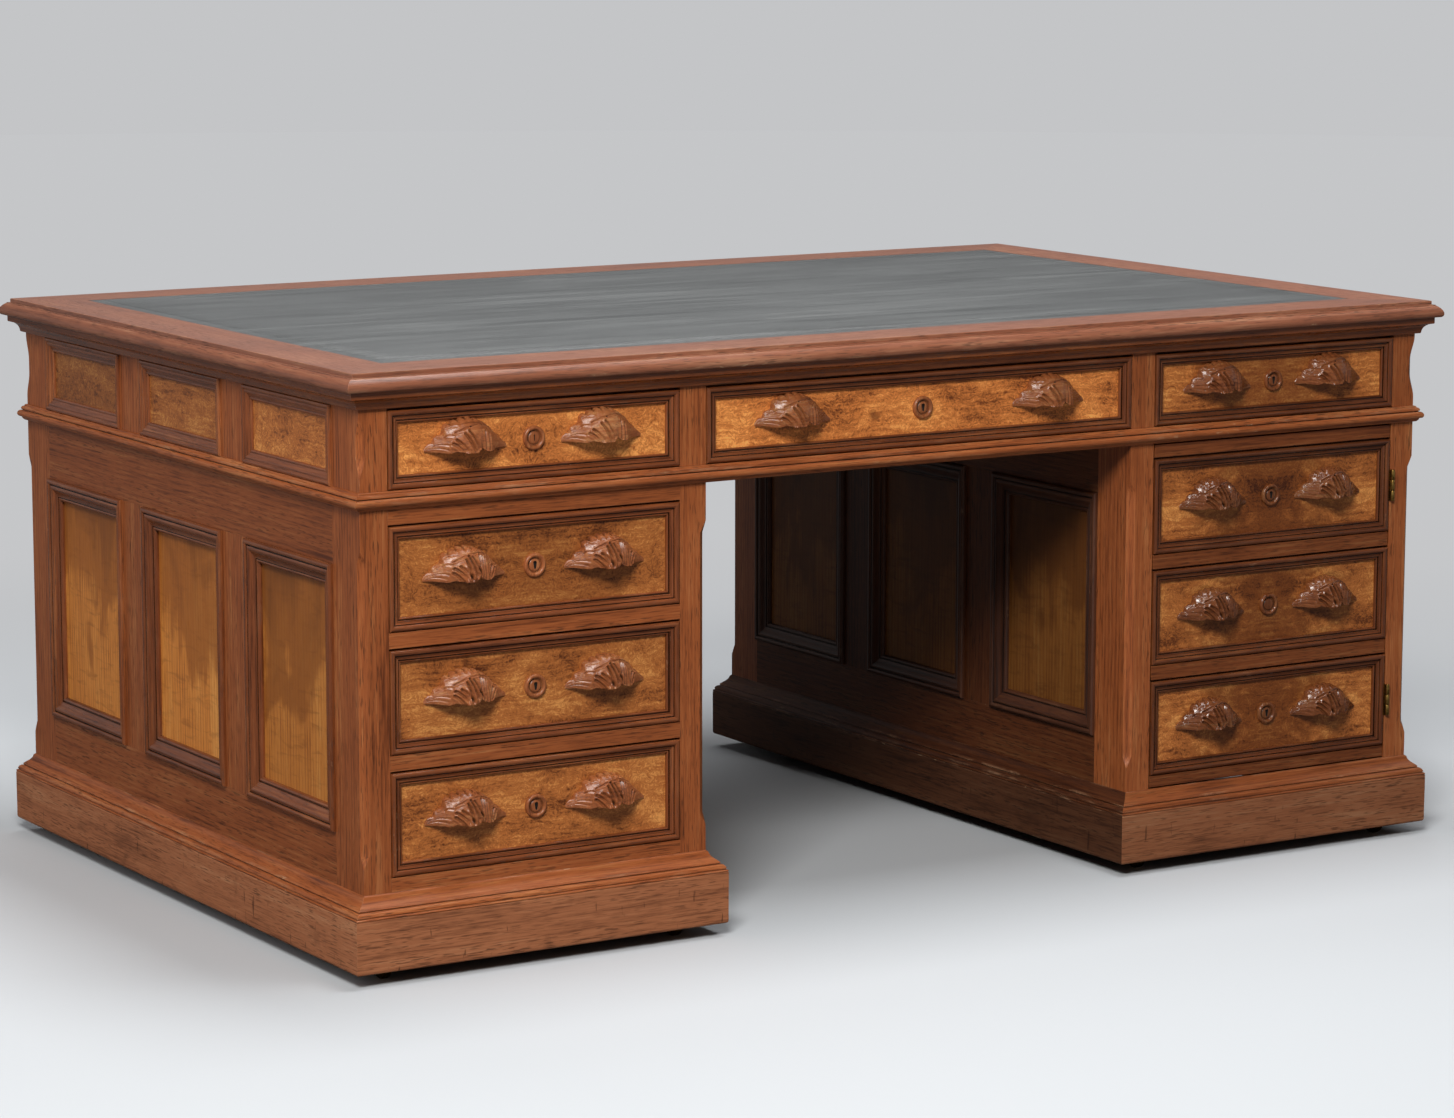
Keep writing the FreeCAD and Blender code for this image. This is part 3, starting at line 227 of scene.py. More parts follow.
def startMaterial(name):
    material = bpy.data.materials.new(name)
    material.use_nodes = True
    nodes = material.node_tree.nodes
    nodes.clear()
    shader = nodes.new("ShaderNodeBsdfPrincipled")
    material.node_tree.links.new(shader.outputs[0], nodes.new("ShaderNodeOutputMaterial").inputs[0])
    return material, ShaderTree(material.node_tree), shader


def finishOff(tree, shader, colour, rough, height, distance, strength):
    tree.feed(shader.inputs["Base Color"], colour)
    tree.feed(shader.inputs["Roughness"], rough)
    bump = tree.node("ShaderNodeBump", {"Height": height, "Distance": distance, "Strength": strength})
    tree.feed(shader.inputs["Normal"], bump[0])


def tint(hexText):  # an sRGB colour as linear light
    values = [int(hexText[i:i + 2], 16) / 255 for i in (0, 2, 4)]
    return tuple(v / 12.92 if v < 0.04045 else ((v + 0.055) / 1.055) ** 2.4 for v in values) + (1,)


def shadesOf(finish):
    return {key: tint(shade) for key, shade in zip(("Dark", "Mid", "Light"), finish["shades"])}


def grainOf(tree, coord, finish):
    return tree.effect(grainGroup, Coord=coord, Figure=finish["figure"], Pores=finish["pores"],
                       **shadesOf(finish))


# multiplies by the board tone, which holds the kneehole's painted shade
def tonedAndShaded(tree, colour, tone):
    grey = tree.node("ShaderNodeCombineColor", {0: tone, 1: tone, 2: tone})[0]
    return tree.mix(1.0, colour, grey, "MULTIPLY")


# darkens recesses towards near black: grime and painted shade
def soiledAndShaded(tree, colour, amount):
    return tree.mix(tree.effect(grimeAndShadeGroup, Amount=amount)["Mask"], colour, (0.010, 0.005, 0.003, 1))


def dulled(tree, rough, tone):  # the kneehole's boards, darkened by painted shade, have little polish
    return tree.most(rough, tree.ramp(tone, 0.40, 0.37, 0.0, 0.55))


# finishes: dark, mid and light of the figure, and what the polish does to it; grime also sets the painted
# shade in recesses; only a burl has eyes
finishes = {
    "walnut": {"shades": ("633018", "a3592f", "c07c4b"), "figure": 0.14, "pores": 0.8,
               "rough": 0.36, "wear": 0.6, "grimeAndShade": 0.8, "shine": 0.28},
    "topWalnut": {"shades": ("653b2a", "8b543c", "a47357"), "figure": 0.14, "pores": 0.8,
                  "rough": 0.36, "wear": 0.6, "grimeAndShade": 0.5, "shine": 0.40},
    "plinthWalnut": {"shades": ("70422b", "b2704b", "c99068"), "figure": 0.12, "pores": 0.8,
                     "rough": 0.42, "wear": 0.7, "grimeAndShade": 0.8, "shine": 0.25, "scuffs": "2a150c"},
    "mouldingWalnut": {"shades": ("522813", "834625", "a8663c"), "figure": 0.10, "pores": 0.6,
                       "rough": 0.19, "wear": 0.12, "grimeAndShade": 1.0, "shine": 0.52},
    "carvedWalnut": {"shades": ("6e381e", "a86036", "c78a58"), "figure": 0.10, "pores": 0.5,
                     "rough": 0.17, "wear": 0.2, "grimeAndShade": 1.0, "shine": 0.45, "paleRough": 0.14},
    "drawerBurl": {"shades": ("5a2a10", "bb6f36", "eda55a"), "eyes": 0.7, "heart": "907c6c",
                   "rough": 0.34, "wear": 0.0, "grimeAndShade": 0.5, "shine": 0.34},
    "carcassOak": {"shades": ("6d5233", "967550", "b4936b"), "figure": 0.3, "pores": 0.6,
                   "rough": 0.6, "wear": 0.0, "grimeAndShade": 0.4, "shine": 0.3},
}
bareWood = {"rubbed": "c79a76", "chipped": "d8b48e", "rough": 0.25}


def woodMaterial(name, finish):
    material, tree, shader = startMaterial(name)
    coord = tree.attribute("woodCoord")
    tone = tree.attribute("boardToneAndShade", "Fac")
    polish = finish["rough"] - 0.06
    if "eyes" in finish:
        across, calm, heart = tree.split(tree.attribute("panelPlace"))
        figure = tree.effect(burlGroup, Coord=coord, Eyes=finish["eyes"], Calm=calm, **shadesOf(finish))
        rough = tree.maths("MULTIPLY_ADD", figure["Height"], 0.12, polish)
        colour = tonedAndShaded(tree, figure["Color"], tone)
        cloud = tree.noise(coord, (16, 26, 26), 5, 1.2, 0.62)  # matched fields darken to a heart
        edge = tree.add(tree.times(tree.maths("ABSOLUTE", across), 0.55), cloud)
        heart = tree.times(tree.ramp(edge, 0.95, 0.58), heart)
        colour = tree.mix(heart, colour, tree.mix(1.0, colour, tint(finish["heart"]), "MULTIPLY"))
    else:
        figure = grainOf(tree, coord, finish)
        rough = tree.add(figure["Gloss"], polish)
        colour = tonedAndShaded(tree, figure["Color"], tone)
    # grime and painted shade in the recesses
    colour = soiledAndShaded(tree, colour, finish["grimeAndShade"])
    if "scuffs" in finish:
        colour = tree.mix(tree.effect(scuffGroup)["Mask"], colour, tint(finish["scuffs"]))
    if finish["wear"]:
        worn = tree.effect(wearGroup, Coord=coord, Reach=finish["wear"])
        colour = tree.mix(worn["Mask"], colour, tint(bareWood["rubbed"]))
        colour = tree.mix(worn["Chips"], colour, tint(bareWood["chipped"]))
        rough = tree.add(rough, tree.times(worn["Mask"], bareWood["rough"]))
    rough = dulled(tree, rough, tone)
    if "paleRough" in finish:  # the darker pulls kept more polish
        rough = tree.add(rough, tree.ramp(tone, 0.6, 0.9, 0.0, finish["paleRough"]))
    finishOff(tree, shader, colour, rough, figure["Height"], 0.00025, 0.5)
    shader.inputs["Specular IOR Level"].default_value = finish["shine"]
    return material


woods = {name: woodMaterial(name, finish) for name, finish in finishes.items()}

# side panels: straight veneer under a dark flame that hangs from the top of each panel
veneer = {"shades": ("b86b2d", "e69141", "fab260"), "figure": 0.20, "pores": 0.25, "grimeAndShade": 0.5,
          "shine": 0.25, "flame": "a86026", "ripple": "9a5724", "crest": "74401c"}


def veneerMaterial():
    material, tree, shader = startMaterial("flameVeneer")
    coord = tree.attribute("woodCoord")
    up, across, _ = tree.split(tree.attribute("panelPlace"))
    grain = grainOf(tree, coord, veneer)
    arch = tree.times(tree.maths("POWER", tree.maths("ABSOLUTE", across), 2.0), 0.55)
    wander = tree.noise(coord, (5, 9, 9), 3, 1.0)
    feather = tree.noise(coord, (7, 75, 75), 4, 0.3)
    flame = tree.add(tree.maths("SUBTRACT", up, arch), tree.times(wander, 2.4))
    flame = tree.add(flame, tree.times(feather, 0.9))
    ripple = tree.noise(coord, (95, 22, 22), 3, 0.8)
    colour = tree.mix(tree.ramp(flame, 1.30, 1.72, 0.0, 0.75), grain["Color"], tint(veneer["flame"]))
    colour = tree.mix(tree.ramp(ripple, 0.50, 0.75, 0.0, 0.45), colour, tint(veneer["ripple"]))
    colour = tree.mix(tree.ramp(flame, 1.8, 2.6, 0.0, 0.6), colour, tint(veneer["crest"]))
    tone = tree.attribute("boardToneAndShade", "Fac")
    # painted shade in the kneehole through the board tone, then grime and painted shade in the recesses
    colour = soiledAndShaded(tree, tonedAndShaded(tree, colour, tone), veneer["grimeAndShade"])
    rough = dulled(tree, tree.add(grain["Gloss"], 0.28), tone)
    finishOff(tree, shader, colour, rough, grain["Height"], 0.0002, 0.4)
    shader.inputs["Specular IOR Level"].default_value = veneer["shine"]
    return material


# writing leather: pebbled skin, long rubbed streaks along the top, and scuffs
hide = {"dark": "3d3f3f", "mid": "666868", "rubbed": "838483", "creases": "191b1a", "pebbles": 620.0}


def leatherMaterial():
    material, tree, shader = startMaterial("writingLeather")
    coord = tree.objectCoord()
    streaks = tree.noise(coord, (2.2, 95, 1), 6, 0.3, 0.7)
    scuffs = tree.noise(coord, (3, 14, 1), 5, 0.6, 0.65)
    pebbles = {"Vector": coord, "Scale": hide["pebbles"]}
    skin = tree.node("ShaderNodeTexVoronoi", pebbles, feature="DISTANCE_TO_EDGE")[0]
    fine = tree.noise(coord, 900.0, 2)
    tone = tree.add(tree.times(streaks, 0.7), tree.times(scuffs, 0.5))
    colour = tree.mix(tree.ramp(tone, 0.40, 0.80), tint(hide["dark"]), tint(hide["mid"]))
    colour = tree.mix(tree.ramp(tone, 0.66, 0.92, 0.0, 0.5), colour, tint(hide["rubbed"]))
    colour = tree.mix(tree.ramp(skin, 0.10, 0.0, 0.0, 0.35), colour, tint(hide["creases"]))
    rough = tree.add(tree.times(tone, 0.22), 0.24)
    height = tree.add(tree.ramp(skin, 0.0, 0.25), tree.times(fine, 0.4))
    finishOff(tree, shader, colour, rough, height, 0.0002, 0.5)
    return material


# metals: aged brass and black iron share one mottled tarnish
def metalMaterial(name, clean, stained, rough):
    material, tree, shader = startMaterial(name)
    coord = tree.objectCoord()
    tarnish = tree.noise(coord, 160.0, 5, 0.8, 0.65)
    scratches = tree.noise(coord, (300, 2500, 300), 2)
    colour = tree.mix(tree.ramp(tarnish, 0.42, 0.66), tint(clean), tint(stained))
    rough = tree.add(tree.times(tarnish, 0.3), rough)
    finishOff(tree, shader, colour, rough, tree.add(scratches, tarnish), 0.0001, 0.4)
    shader.inputs["Metallic"].default_value = 1.0
    return material


# painted shade: the keyhole's shallow slot is near black, for the shade inside a deep hole
def keyholeMaterial():
    material, tree, shader = startMaterial("keyholeShade")
    shadeSpeckle = tree.ramp(tree.noise(tree.objectCoord(), 900.0, 3), 0.4, 0.7)
    colour = tree.mix(shadeSpeckle, (0.004, 0.003, 0.003, 1), (0.02, 0.014, 0.01, 1))
    tree.feed(shader.inputs["Base Color"], colour)
    shader.inputs["Roughness"].default_value = 0.7
    return material


flameVeneer, writingLeather, keyholeShade = veneerMaterial(), leatherMaterial(), keyholeMaterial()
agedBrass = metalMaterial("agedBrass", "b08d4c", "6d5228", 0.18)
blackIron = metalMaterial("blackIron", "3a3632", "1d1a18", 0.38)
print("finishes made:", len(bpy.data.materials))


def spanOf(node):  # least and greatest corner of a CAD node, to a hundredth of a millimetre
    corners = np.round(np.array(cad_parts[node].bound_box), 5)
    return corners.min(0), corners.max(0)


# the carcass from the frame: outer faces of the posts, knee faces, and the posts' feet and heads
friezeLow, friezeHigh = spanOf("frieze_frame")
pedestalLow, pedestalHigh = spanOf("right_pedestal_frame")
halfX, halfY = friezeHigh[:2]
kneeX = pedestalLow[0]
pedestalX = (halfX + kneeX) / 2
friezeFoot = friezeLow[2]

# board tones: painted shade darkens the kneehole below the frieze, and the ends between the posts are darker
boardShadeAndTone = {"knee": 0.34, "kneeX": 0.385, "kneeY": 0.45, "plinth": 0.116, "frieze": 0.602,
          "end": 0.86, "endX": 0.8, "endY": 0.5, "least": 0.90, "most": 1.08}


# painted shade for boards in the kneehole, and a darker tone for the ends, as a share of a board's tone
def kneeShadeAndEndTone(points):
    x, y, z = np.abs(points).max(0)
    if z < boardShadeAndTone["frieze"]:
        if x < boardShadeAndTone["kneeX"] and (y < boardShadeAndTone["kneeY"] or z < boardShadeAndTone["plinth"]):
            return boardShadeAndTone["knee"]
        if x > boardShadeAndTone["endX"] and y < boardShadeAndTone["endY"]:
            return boardShadeAndTone["end"]
    return 1.0


class Stock:  # gathers closed shapes, their wood coordinates and board tones with painted shade into one mesh
    def __init__(self, shade=1.0):
        self.shade, self.count = shade, 0
        self.points, self.faces, self.marks = [], [], []
        self.wood, self.places, self.tones, self.crests = [], [], [], []

    def add(self, points, faces, grain=None, mark=0, place=None, tone=None, crest=None, wood=None):
        points = np.asarray(points, float).reshape(-1, 3)
        if wood is None:
            least = points.min(0)
            if grain is None:  # along the longest side
                grain = np.argsort(least - points.max(0))
            wood = (points - least)[:, grain]
        self.points.append(points)
        self.faces += [tuple(int(i) + self.count for i in face) for face in faces]
        self.marks += [mark] * len(faces)
        self.wood.append(wood + rng.uniform(-9, 9, 3))
        tone = tone or rng.uniform(boardShadeAndTone["least"], boardShadeAndTone["most"])
        # a board's tone, times the kneehole's painted shade or the darker ends
        self.tones.append(np.full(len(points), self.shade * kneeShadeAndEndTone(points) * tone))
        self.places.append(np.zeros((len(points), 3)) if place is None else place)
        self.crests.append(np.zeros(len(points)) if crest is None else crest)
        self.count += len(points)

    def piece(self, name, body, slot, materials, smooth=35, bevel=0.0, dissolve=False):
        mesh = bpy.data.meshes.new(name)
        mesh.from_pydata(np.concatenate(self.points).tolist(), [], self.faces)
        for label, kind, key, values in (("woodCoord", "FLOAT_VECTOR", "vector", self.wood),
                                         ("panelPlace", "FLOAT_VECTOR", "vector", self.places),
                                         ("boardToneAndShade", "FLOAT", "value", self.tones),
                                         ("ridge", "FLOAT", "value", self.crests)):
            layer = mesh.attributes.new(label, kind, "POINT")
            layer.data.foreach_set(key, np.concatenate(values).astype(np.float32).ravel())
        mesh.polygons.foreach_set("material_index", np.array(self.marks, np.int32))
        shape = bmesh.new()
        shape.from_mesh(mesh)
        if dissolve:
            bmesh.ops.dissolve_limit(shape, angle_limit=0.01, verts=shape.verts, edges=shape.edges)
        bmesh.ops.recalc_face_normals(shape, faces=shape.faces)
        shape.to_mesh(mesh)
        shape.free()
        for material in materials:
            mesh.materials.append(material)
        mesh.shade_smooth()
        mesh.set_sharp_from_angle(angle=math.radians(smooth))
        piece = bpy.data.objects.new(name, mesh)
        scene.collection.objects.link(piece)
        if bevel:
            rounding = piece.modifiers.new("rounded arrises", "BEVEL")
            rounding.width = bevel
            rounding.segments = 2
            rounding.limit_method = "ANGLE"
            rounding.angle_limit = math.radians(50)
            rounding.harden_normals = True
        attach(piece, body)
        return piece


# a node's triangles, cut into closed solids: uses of an edge pair up in order, and a solid ends where no
# pair is open
def solidsOf(node):
    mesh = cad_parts[node].data
    flat = np.empty(len(mesh.vertices) * 3, np.float32)
    mesh.vertices.foreach_get("co", flat)
    mesh.calc_loop_triangles()
    corners = np.empty(len(mesh.loop_triangles) * 3, np.int32)
    mesh.loop_triangles.foreach_get("vertices", corners)
    keys, same = np.unique(np.round(flat.reshape(-1, 3) * 1e5).astype(np.int64), axis=0, return_inverse=True)
    triangles = same.ravel()[corners].reshape(-1, 3)
    edges = np.sort(triangles[:, [0, 1, 1, 2, 2, 0]].reshape(-1, 2), axis=1)
    edgeIds = np.unique(edges, axis=0, return_inverse=True)[1].ravel()
    owners = np.repeat(np.arange(len(triangles)), 3)
    pairs = owners[np.lexsort((owners, edgeIds))].reshape(-1, 2)
    opened = np.zeros(len(triangles) + 1, int)
    np.add.at(opened, pairs[:, 0], 1)
    np.add.at(opened, pairs[:, 1], -1)
    ends = np.flatnonzero(np.cumsum(opened[:-1]) == 0) + 1
    solids = []
    for part in np.split(triangles, ends[:-1]):
        used, local = np.unique(part, return_inverse=True)
        solids.append((keys[used] / 1e5, local.reshape(-1, 3)))
    return solids


# a tube of equal rings: four-sided faces between neighbours, and a cap on the first and last ring
def tubeFaces(rings, count):
    i, j = np.meshgrid(np.arange(rings - 1), np.arange(count), indexing="ij")
    ring, k = i * count, (j + 1) % count
    sides = np.stack([ring + j, ring + count + j, ring + count + k, ring + k], -1).reshape(-1, 4).tolist()
    last = (rings - 1) * count
    return sides + [list(range(count))[::-1], list(range(last, last + count))]


# a box as a tube of upright rectangles along X
def boxOf(low, high, rings=2):
    x = np.linspace(low[0], high[0], rings)
    y = np.array([low[1], high[1], high[1], low[1]])
    z = np.array([low[2], low[2], high[2], high[2]])
    points = np.stack([np.repeat(x, 4), np.tile(y, rings), np.tile(z, rings)], -1)
    return points, tubeFaces(rings, 4)


# a profile turned about Z: radius and height of each ring
def turned(profile, segments):
    radius, height = np.asarray(profile, float).T
    angle = np.linspace(0, 2 * np.pi, segments, endpoint=False)
    points = np.stack([radius[:, None] * np.cos(angle), radius[:, None] * np.sin(angle),
                       np.repeat(height[:, None], segments, 1)], -1)
    return points.reshape(-1, 3), tubeFaces(len(radius), segments)


def ridges(profile):  # how far a closed profile turns outwards at each point, as a share of a right angle
    before, after = profile - np.roll(profile, 1, 0), np.roll(profile, -1, 0) - profile
    turn = np.arctan2(before[:, 0] * after[:, 1] - before[:, 1] * after[:, 0], (before * after).sum(1))
    turn *= np.sign(turn.sum())
    turn += (np.roll(turn, 1) + np.roll(turn, -1)) / 2
    return np.clip(turn / (np.pi / 2), 0, 1)


flats = {"stops": (0.0012, 0.0026), "shortest": 0.008}


def withStops(profile):  # long flats get points near both ends, so wear stays by the arris
    points = []
    for start, end in zip(profile, np.roll(profile, -1, 0)):
        run = np.linalg.norm(end - start)
        shares = [0.0]
        if run > flats["shortest"]:
            near = [stop / run for stop in flats["stops"]]
            shares += near + [1 - share for share in near[::-1]]
        points += [start + (end - start) * share for share in shares]
    return np.array(points)


cornerSigns = np.array([(-1, -1), (1, -1), (1, 1), (-1, 1)])
grains = {"round": ((0, 1, 2), (1, 0, 2)), "end": ((1, 2, 0), (2, 1, 0)), "front": ((0, 2, 1), (2, 0, 1))}


# four mitred lengths round a rectangle: a profile point is (inset from the edge, height), its two ends lie on
# the corners' diagonals, and the grain follows each pair of sides
def addLengths(stock, profile, width, height, turnTo, grain, mark=0, tone=None):
    profile = withStops(profile)
    inset, lift = profile.T
    crest = np.tile(ridges(profile), 2)
    corners = [np.stack([x * (width / 2 - inset), y * (height / 2 - inset), lift], 1) for x, y in cornerSigns]
    for side in range(4):
        length = np.concatenate([corners[side], corners[(side + 1) % 4]])
        stock.add(turnTo(length), tubeFaces(2, len(profile)), grain[side % 2], mark, tone=tone, crest=crest)


arris = 0.0008  # width of a rounded edge


# carcass: the CAD boards with rounded arrises
def boardPiece(node, body, slot, material, bevel=arris, keep=None, extra=None, shade=1.0):
    stock = Stock(shade)
    for points, faces in solidsOf(node):
        if keep is None or keep(points, faces):
            stock.add(points, faces.tolist())
    if extra:
        extra(stock)
    piece = stock.piece(f"{node}_wood", body, slot, [material], bevel=bevel, dissolve=True)
    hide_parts(node)


# posts: for each kind the foot, the head, the plain parts below and above, and the run of a stop
post = {"face": 0.039, "side": 0.075, "chamfer": 0.009, "rest": 0.0002, "rows": 60,
        "frieze": (friezeFoot, friezeHigh[2], 0.012, 0.028, 0.034),
        "pedestal": (pedestalLow[2], pedestalHigh[2], 0.032, 0.048, 0.020)}


# a five-sided post whose chamfer grows and dies away along smooth curves at the stops
def addPost(stock, kind, cornerX, cornerY):
    foot, head, low, high, run = post[kind]
    z = np.linspace(foot, head, post["rows"])
    rise = np.clip((z - foot - low) / run, 0, 1) * np.clip((head - high - z) / run, 0, 1)
    cut = post["rest"] + (post["chamfer"] - post["rest"]) * rise ** 2 * (3 - 2 * rise)
    zero, face, side = np.zeros_like(z), np.full_like(z, post["face"]), np.full_like(z, post["side"])
    inward = -np.sign(cornerX) if abs(cornerX) > pedestalX else np.sign(cornerX)  # always into the pedestal
    x = cornerX + inward * np.stack([cut, face, face, zero, zero], 1)
    y = cornerY - np.sign(cornerY) * np.stack([zero, zero, side, side, cut], 1)
    stock.add(np.stack([x, y, np.repeat(z[:, None], 5, 1)], -1), tubeFaces(len(z), 5))


def postsAt(kind, *placesX):
    def build(stock):
        for x in placesX:
            for y in (-halfY, halfY):
                addPost(stock, kind, x, y)
    return build


def isBoard(points, faces):  # six sides of two triangles
    return len(faces) == 12


framePosts = {"frieze_frame": postsAt("frieze", -halfX, halfX),
              "left_pedestal_frame": postsAt("pedestal", -halfX, -kneeX),
              "right_pedestal_frame": postsAt("pedestal", halfX, kneeX)}
for node, posts in framePosts.items():
    boardPiece(node, "desk", "walnut", woods["walnut"], keep=isBoard, extra=posts)
for node in ("frieze_dividers", "left_pedestal_boards", "right_pedestal_boards", "top_bed"):
    boardPiece(node, "desk", "carcass_oak", woods["carcassOak"])
print("carcass boards made")

# runs of moulding round the carcass: profile points are (past the post faces, height) in millimetres
runs = {
    "top_border_boards": {"finish": "topWalnut", "profile": [
        (-67, 752), (19, 752), (26.2, 751.8), (28.2, 753.4), (29, 755.8), (28.8, 758.4), (27.8, 761),
        (26, 763.6), (23.6, 766), (21.4, 767.6), (20.2, 768.3), (19.9, 769.2), (16.2, 769.4), (15.9, 770),
        (16, 773.6), (15.4, 774.7), (14.2, 775), (-67, 775)]},
    "cornice_moulding": {"finish": "mouldingWalnut", "profile": [
        (0, 728), (5.2, 728), (6.2, 729), (6.4, 731), (7.2, 734), (8.6, 736.8), (10.6, 739), (13.2, 740.8),
        (16.4, 741.8), (18.4, 742), (19.3, 742.6), (19.5, 744), (19.5, 752), (0, 752)]},
    "waist_moulding": {"finish": "walnut", "profile": [
        (-60, 601), (1.5, 601), (3.6, 601.5), (5.6, 603.4), (6.6, 605.6), (7.0, 606.2), (9.4, 606.6),
        (10.8, 607.8), (11.5, 609.8), (11.3, 612), (10.2, 613.9), (8.6, 615.1), (7.4, 615.4), (5.6, 615.5),
        (5.6, 616.7), (7.0, 616.8), (7.2, 618.4), (6.4, 620.2), (5.0, 621.2), (3.6, 621.5), (3.2, 622.8),
        (2.0, 623.8), (0, 624), (-60, 624)]},
}


def outwards(profile):  # past a face is a negative inset
    return np.array(profile) / 1000 * (-1, 1)


def shifted(x):
    return lambda points: points + (x, 0, 0)


for node, run in runs.items():
    stock = Stock()
    addLengths(stock, outwards(run["profile"]), 2 * halfX, 2 * halfY, shifted(0), grains["round"])
    piece = stock.piece(f"{node}_run", "desk", "walnut", [woods[run["finish"]]], smooth=40)
    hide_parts(node)

# plinths: a board with an eased foot and a moulding of three members over it, mitred round each pedestal
plinth = {
    "board": [
        (-4, 18), (18.4, 18), (20.2, 18.6), (21.4, 20), (21.8, 22), (22, 86), (21.6, 87), (-4, 87)],
    "moulding": [
        (-4, 87), (21.2, 87), (21.9, 87.9), (21.8, 89), (20.9, 89.8), (19.4, 90), (19.2, 91.2), (20, 91.5),
        (19.6, 93.2), (18.4, 95), (16.6, 96.5), (15.2, 97), (13.6, 97.1), (13.4, 98.3), (14.4, 98.6),
        (12.6, 100.6), (9.8, 102.9), (6.8, 105.2), (4.4, 107.8), (3.1, 110.4), (2.6, 112.6), (1.2, 113.8),
        (0, 115), (-4, 115)],
    "tones": {-1: 1.0, 1: 0.72}}  # of the left and the right one
stock = Stock()
for way, tone in plinth["tones"].items():
    for mark, part in enumerate(("board", "moulding")):
        addLengths(stock, outwards(plinth[part]), halfX - kneeX, 2 * halfY,
                   shifted(way * pedestalX), grains["round"], mark, tone)
piece = stock.piece("plinths_run", "desk", "walnut", [woods["plinthWalnut"], woods["walnut"]], smooth=40)
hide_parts("plinths")
print("carcass mouldings and plinths made")

# side panels and the mouldings that hold them, with each panel's own frame turned to face out
panel = {"width": 0.250, "thick": 0.008, "places": (-0.320, 0.0, 0.320), "tones": (0.8, 1.15),
         "pedestal": {"foot": 0.183, "height": 0.343, "recess": 0.008, "moulding": [
             (0, 0), (0, 11), (0.7, 12.9), (2.4, 14), (5.0, 14), (6.8, 13.0), (7.4, 11.8), (7.6, 9.6),
             (8.8, 9.6), (9.0, 11.6), (10.6, 12.3), (12.6, 12.0), (14.8, 10.8), (17.2, 9.0), (19.6, 7.5),
             (22.2, 6.6), (23.6, 6.4), (23.8, 4.4), (25.0, 4.4), (25.2, 5.6), (26.6, 6.1), (28.2, 5.5),
             (29.4, 4), (30, 2.2), (30, 0)]},
         "frieze": {"foot": friezeFoot, "height": 0.103, "recess": 0.004, "moulding": [
             (0, 0), (0, 6.2), (0.6, 7.4), (1.8, 8), (3.6, 8), (5, 7.4), (5.6, 6.6), (6.2, 6.4),
             (7.6, 6.9), (9.2, 6.5), (11.2, 5.2), (13.4, 4), (15, 3.5), (15.3, 2.8), (16, 2.8),
             (16.8, 3.3), (18, 3.1), (19, 2.2), (19.5, 1.2), (19.5, 0)]},
         "friezeTone": 0.85, "toneSlope": 0.62}
panelSites = [("pedestal", -halfX, -1), ("pedestal", -kneeX, 1),
              ("pedestal", kneeX, -1), ("pedestal", halfX, 1),
              ("frieze", -halfX, -1), ("frieze", halfX, 1)]  # kind, face and way out


def panelTurn(x, way, y, z):  # across runs along Y, up along Z, and lift out of the face
    return lambda points: np.stack([x + way * points[:, 2], y - way * points[:, 0], z + points[:, 1]], 1)


veneers, burls, bolections = Stock(), Stock(), Stock()
for kind, faceX, way in panelSites:
    spec = panel[kind]
    profile = np.array(spec["moulding"]) / 1000
    half = np.array([panel["width"], spec["height"]]) / 2
    for placeY in panel["places"]:
        seat = panelTurn(faceX - way * spec["recess"], way, placeY, spec["foot"] + half[1])
        addLengths(bolections, profile, panel["width"], spec["height"], seat, grains["end"])
        points, faces = boxOf((*-half, -panel["thick"]), (*half, 0))
        if kind == "frieze":
            tone = panel["friezeTone"] + panel["toneSlope"] * way * placeY
            burls.add(seat(points), faces, (1, 2, 0), tone=tone)
        else:
            place = np.stack([points[:, 1] / half[1], points[:, 0] / half[0], points[:, 2]], 1)
            veneers.add(seat(points), faces, (2, 1, 0), place=place, tone=rng.uniform(*panel["tones"]))
piece = veneers.piece("side_panel_veneers", "desk", "figured_walnut", [flameVeneer])
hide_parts("side_panels")
burls.piece("frieze_end_burls", "desk", "figured_walnut", [woods["drawerBurl"]])
piece = bolections.piece("side_panel_bolections", "desk", "dark_walnut", [woods["mouldingWalnut"]], smooth=40)
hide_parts("side_panel_mouldings")
print("side panels made")

# writing leather: nested rectangles, (inset, lift) in millimetres, carry a tooled double line inside the edge
borderInset = 0.067  # from the post faces in to the inner edge of the border boards
leather = {"halfX": halfX - borderInset, "halfY": halfY - borderInset, "face": 0.7750,
           "rings": [(0, -2.4), (0, -0.7), (0.6, -0.25), (2, -0.1), (17.6, 0), (18.0, -0.5), (18.9, -0.5),
                     (19.3, 0), (21.2, 0), (21.5, -0.35), (22.1, -0.35), (22.4, 0), (60, 0.05)]}


def makeLeather():
    inset, lift = np.array(leather["rings"]).T / 1000
    x = cornerSigns[:, 0] * (leather["halfX"] - inset)[:, None]
    y = cornerSigns[:, 1] * (leather["halfY"] - inset)[:, None]
    z = np.repeat(leather["face"] + lift[:, None], 4, 1)
    stock = Stock()
    stock.add(np.stack([x, y, z], -1), tubeFaces(len(inset), 4))
    piece = stock.piece("writing_leather", "desk", "writing_leather", [writingLeather], smooth=60)
    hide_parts("leather_inset")


makeLeather()
print("leather laid")

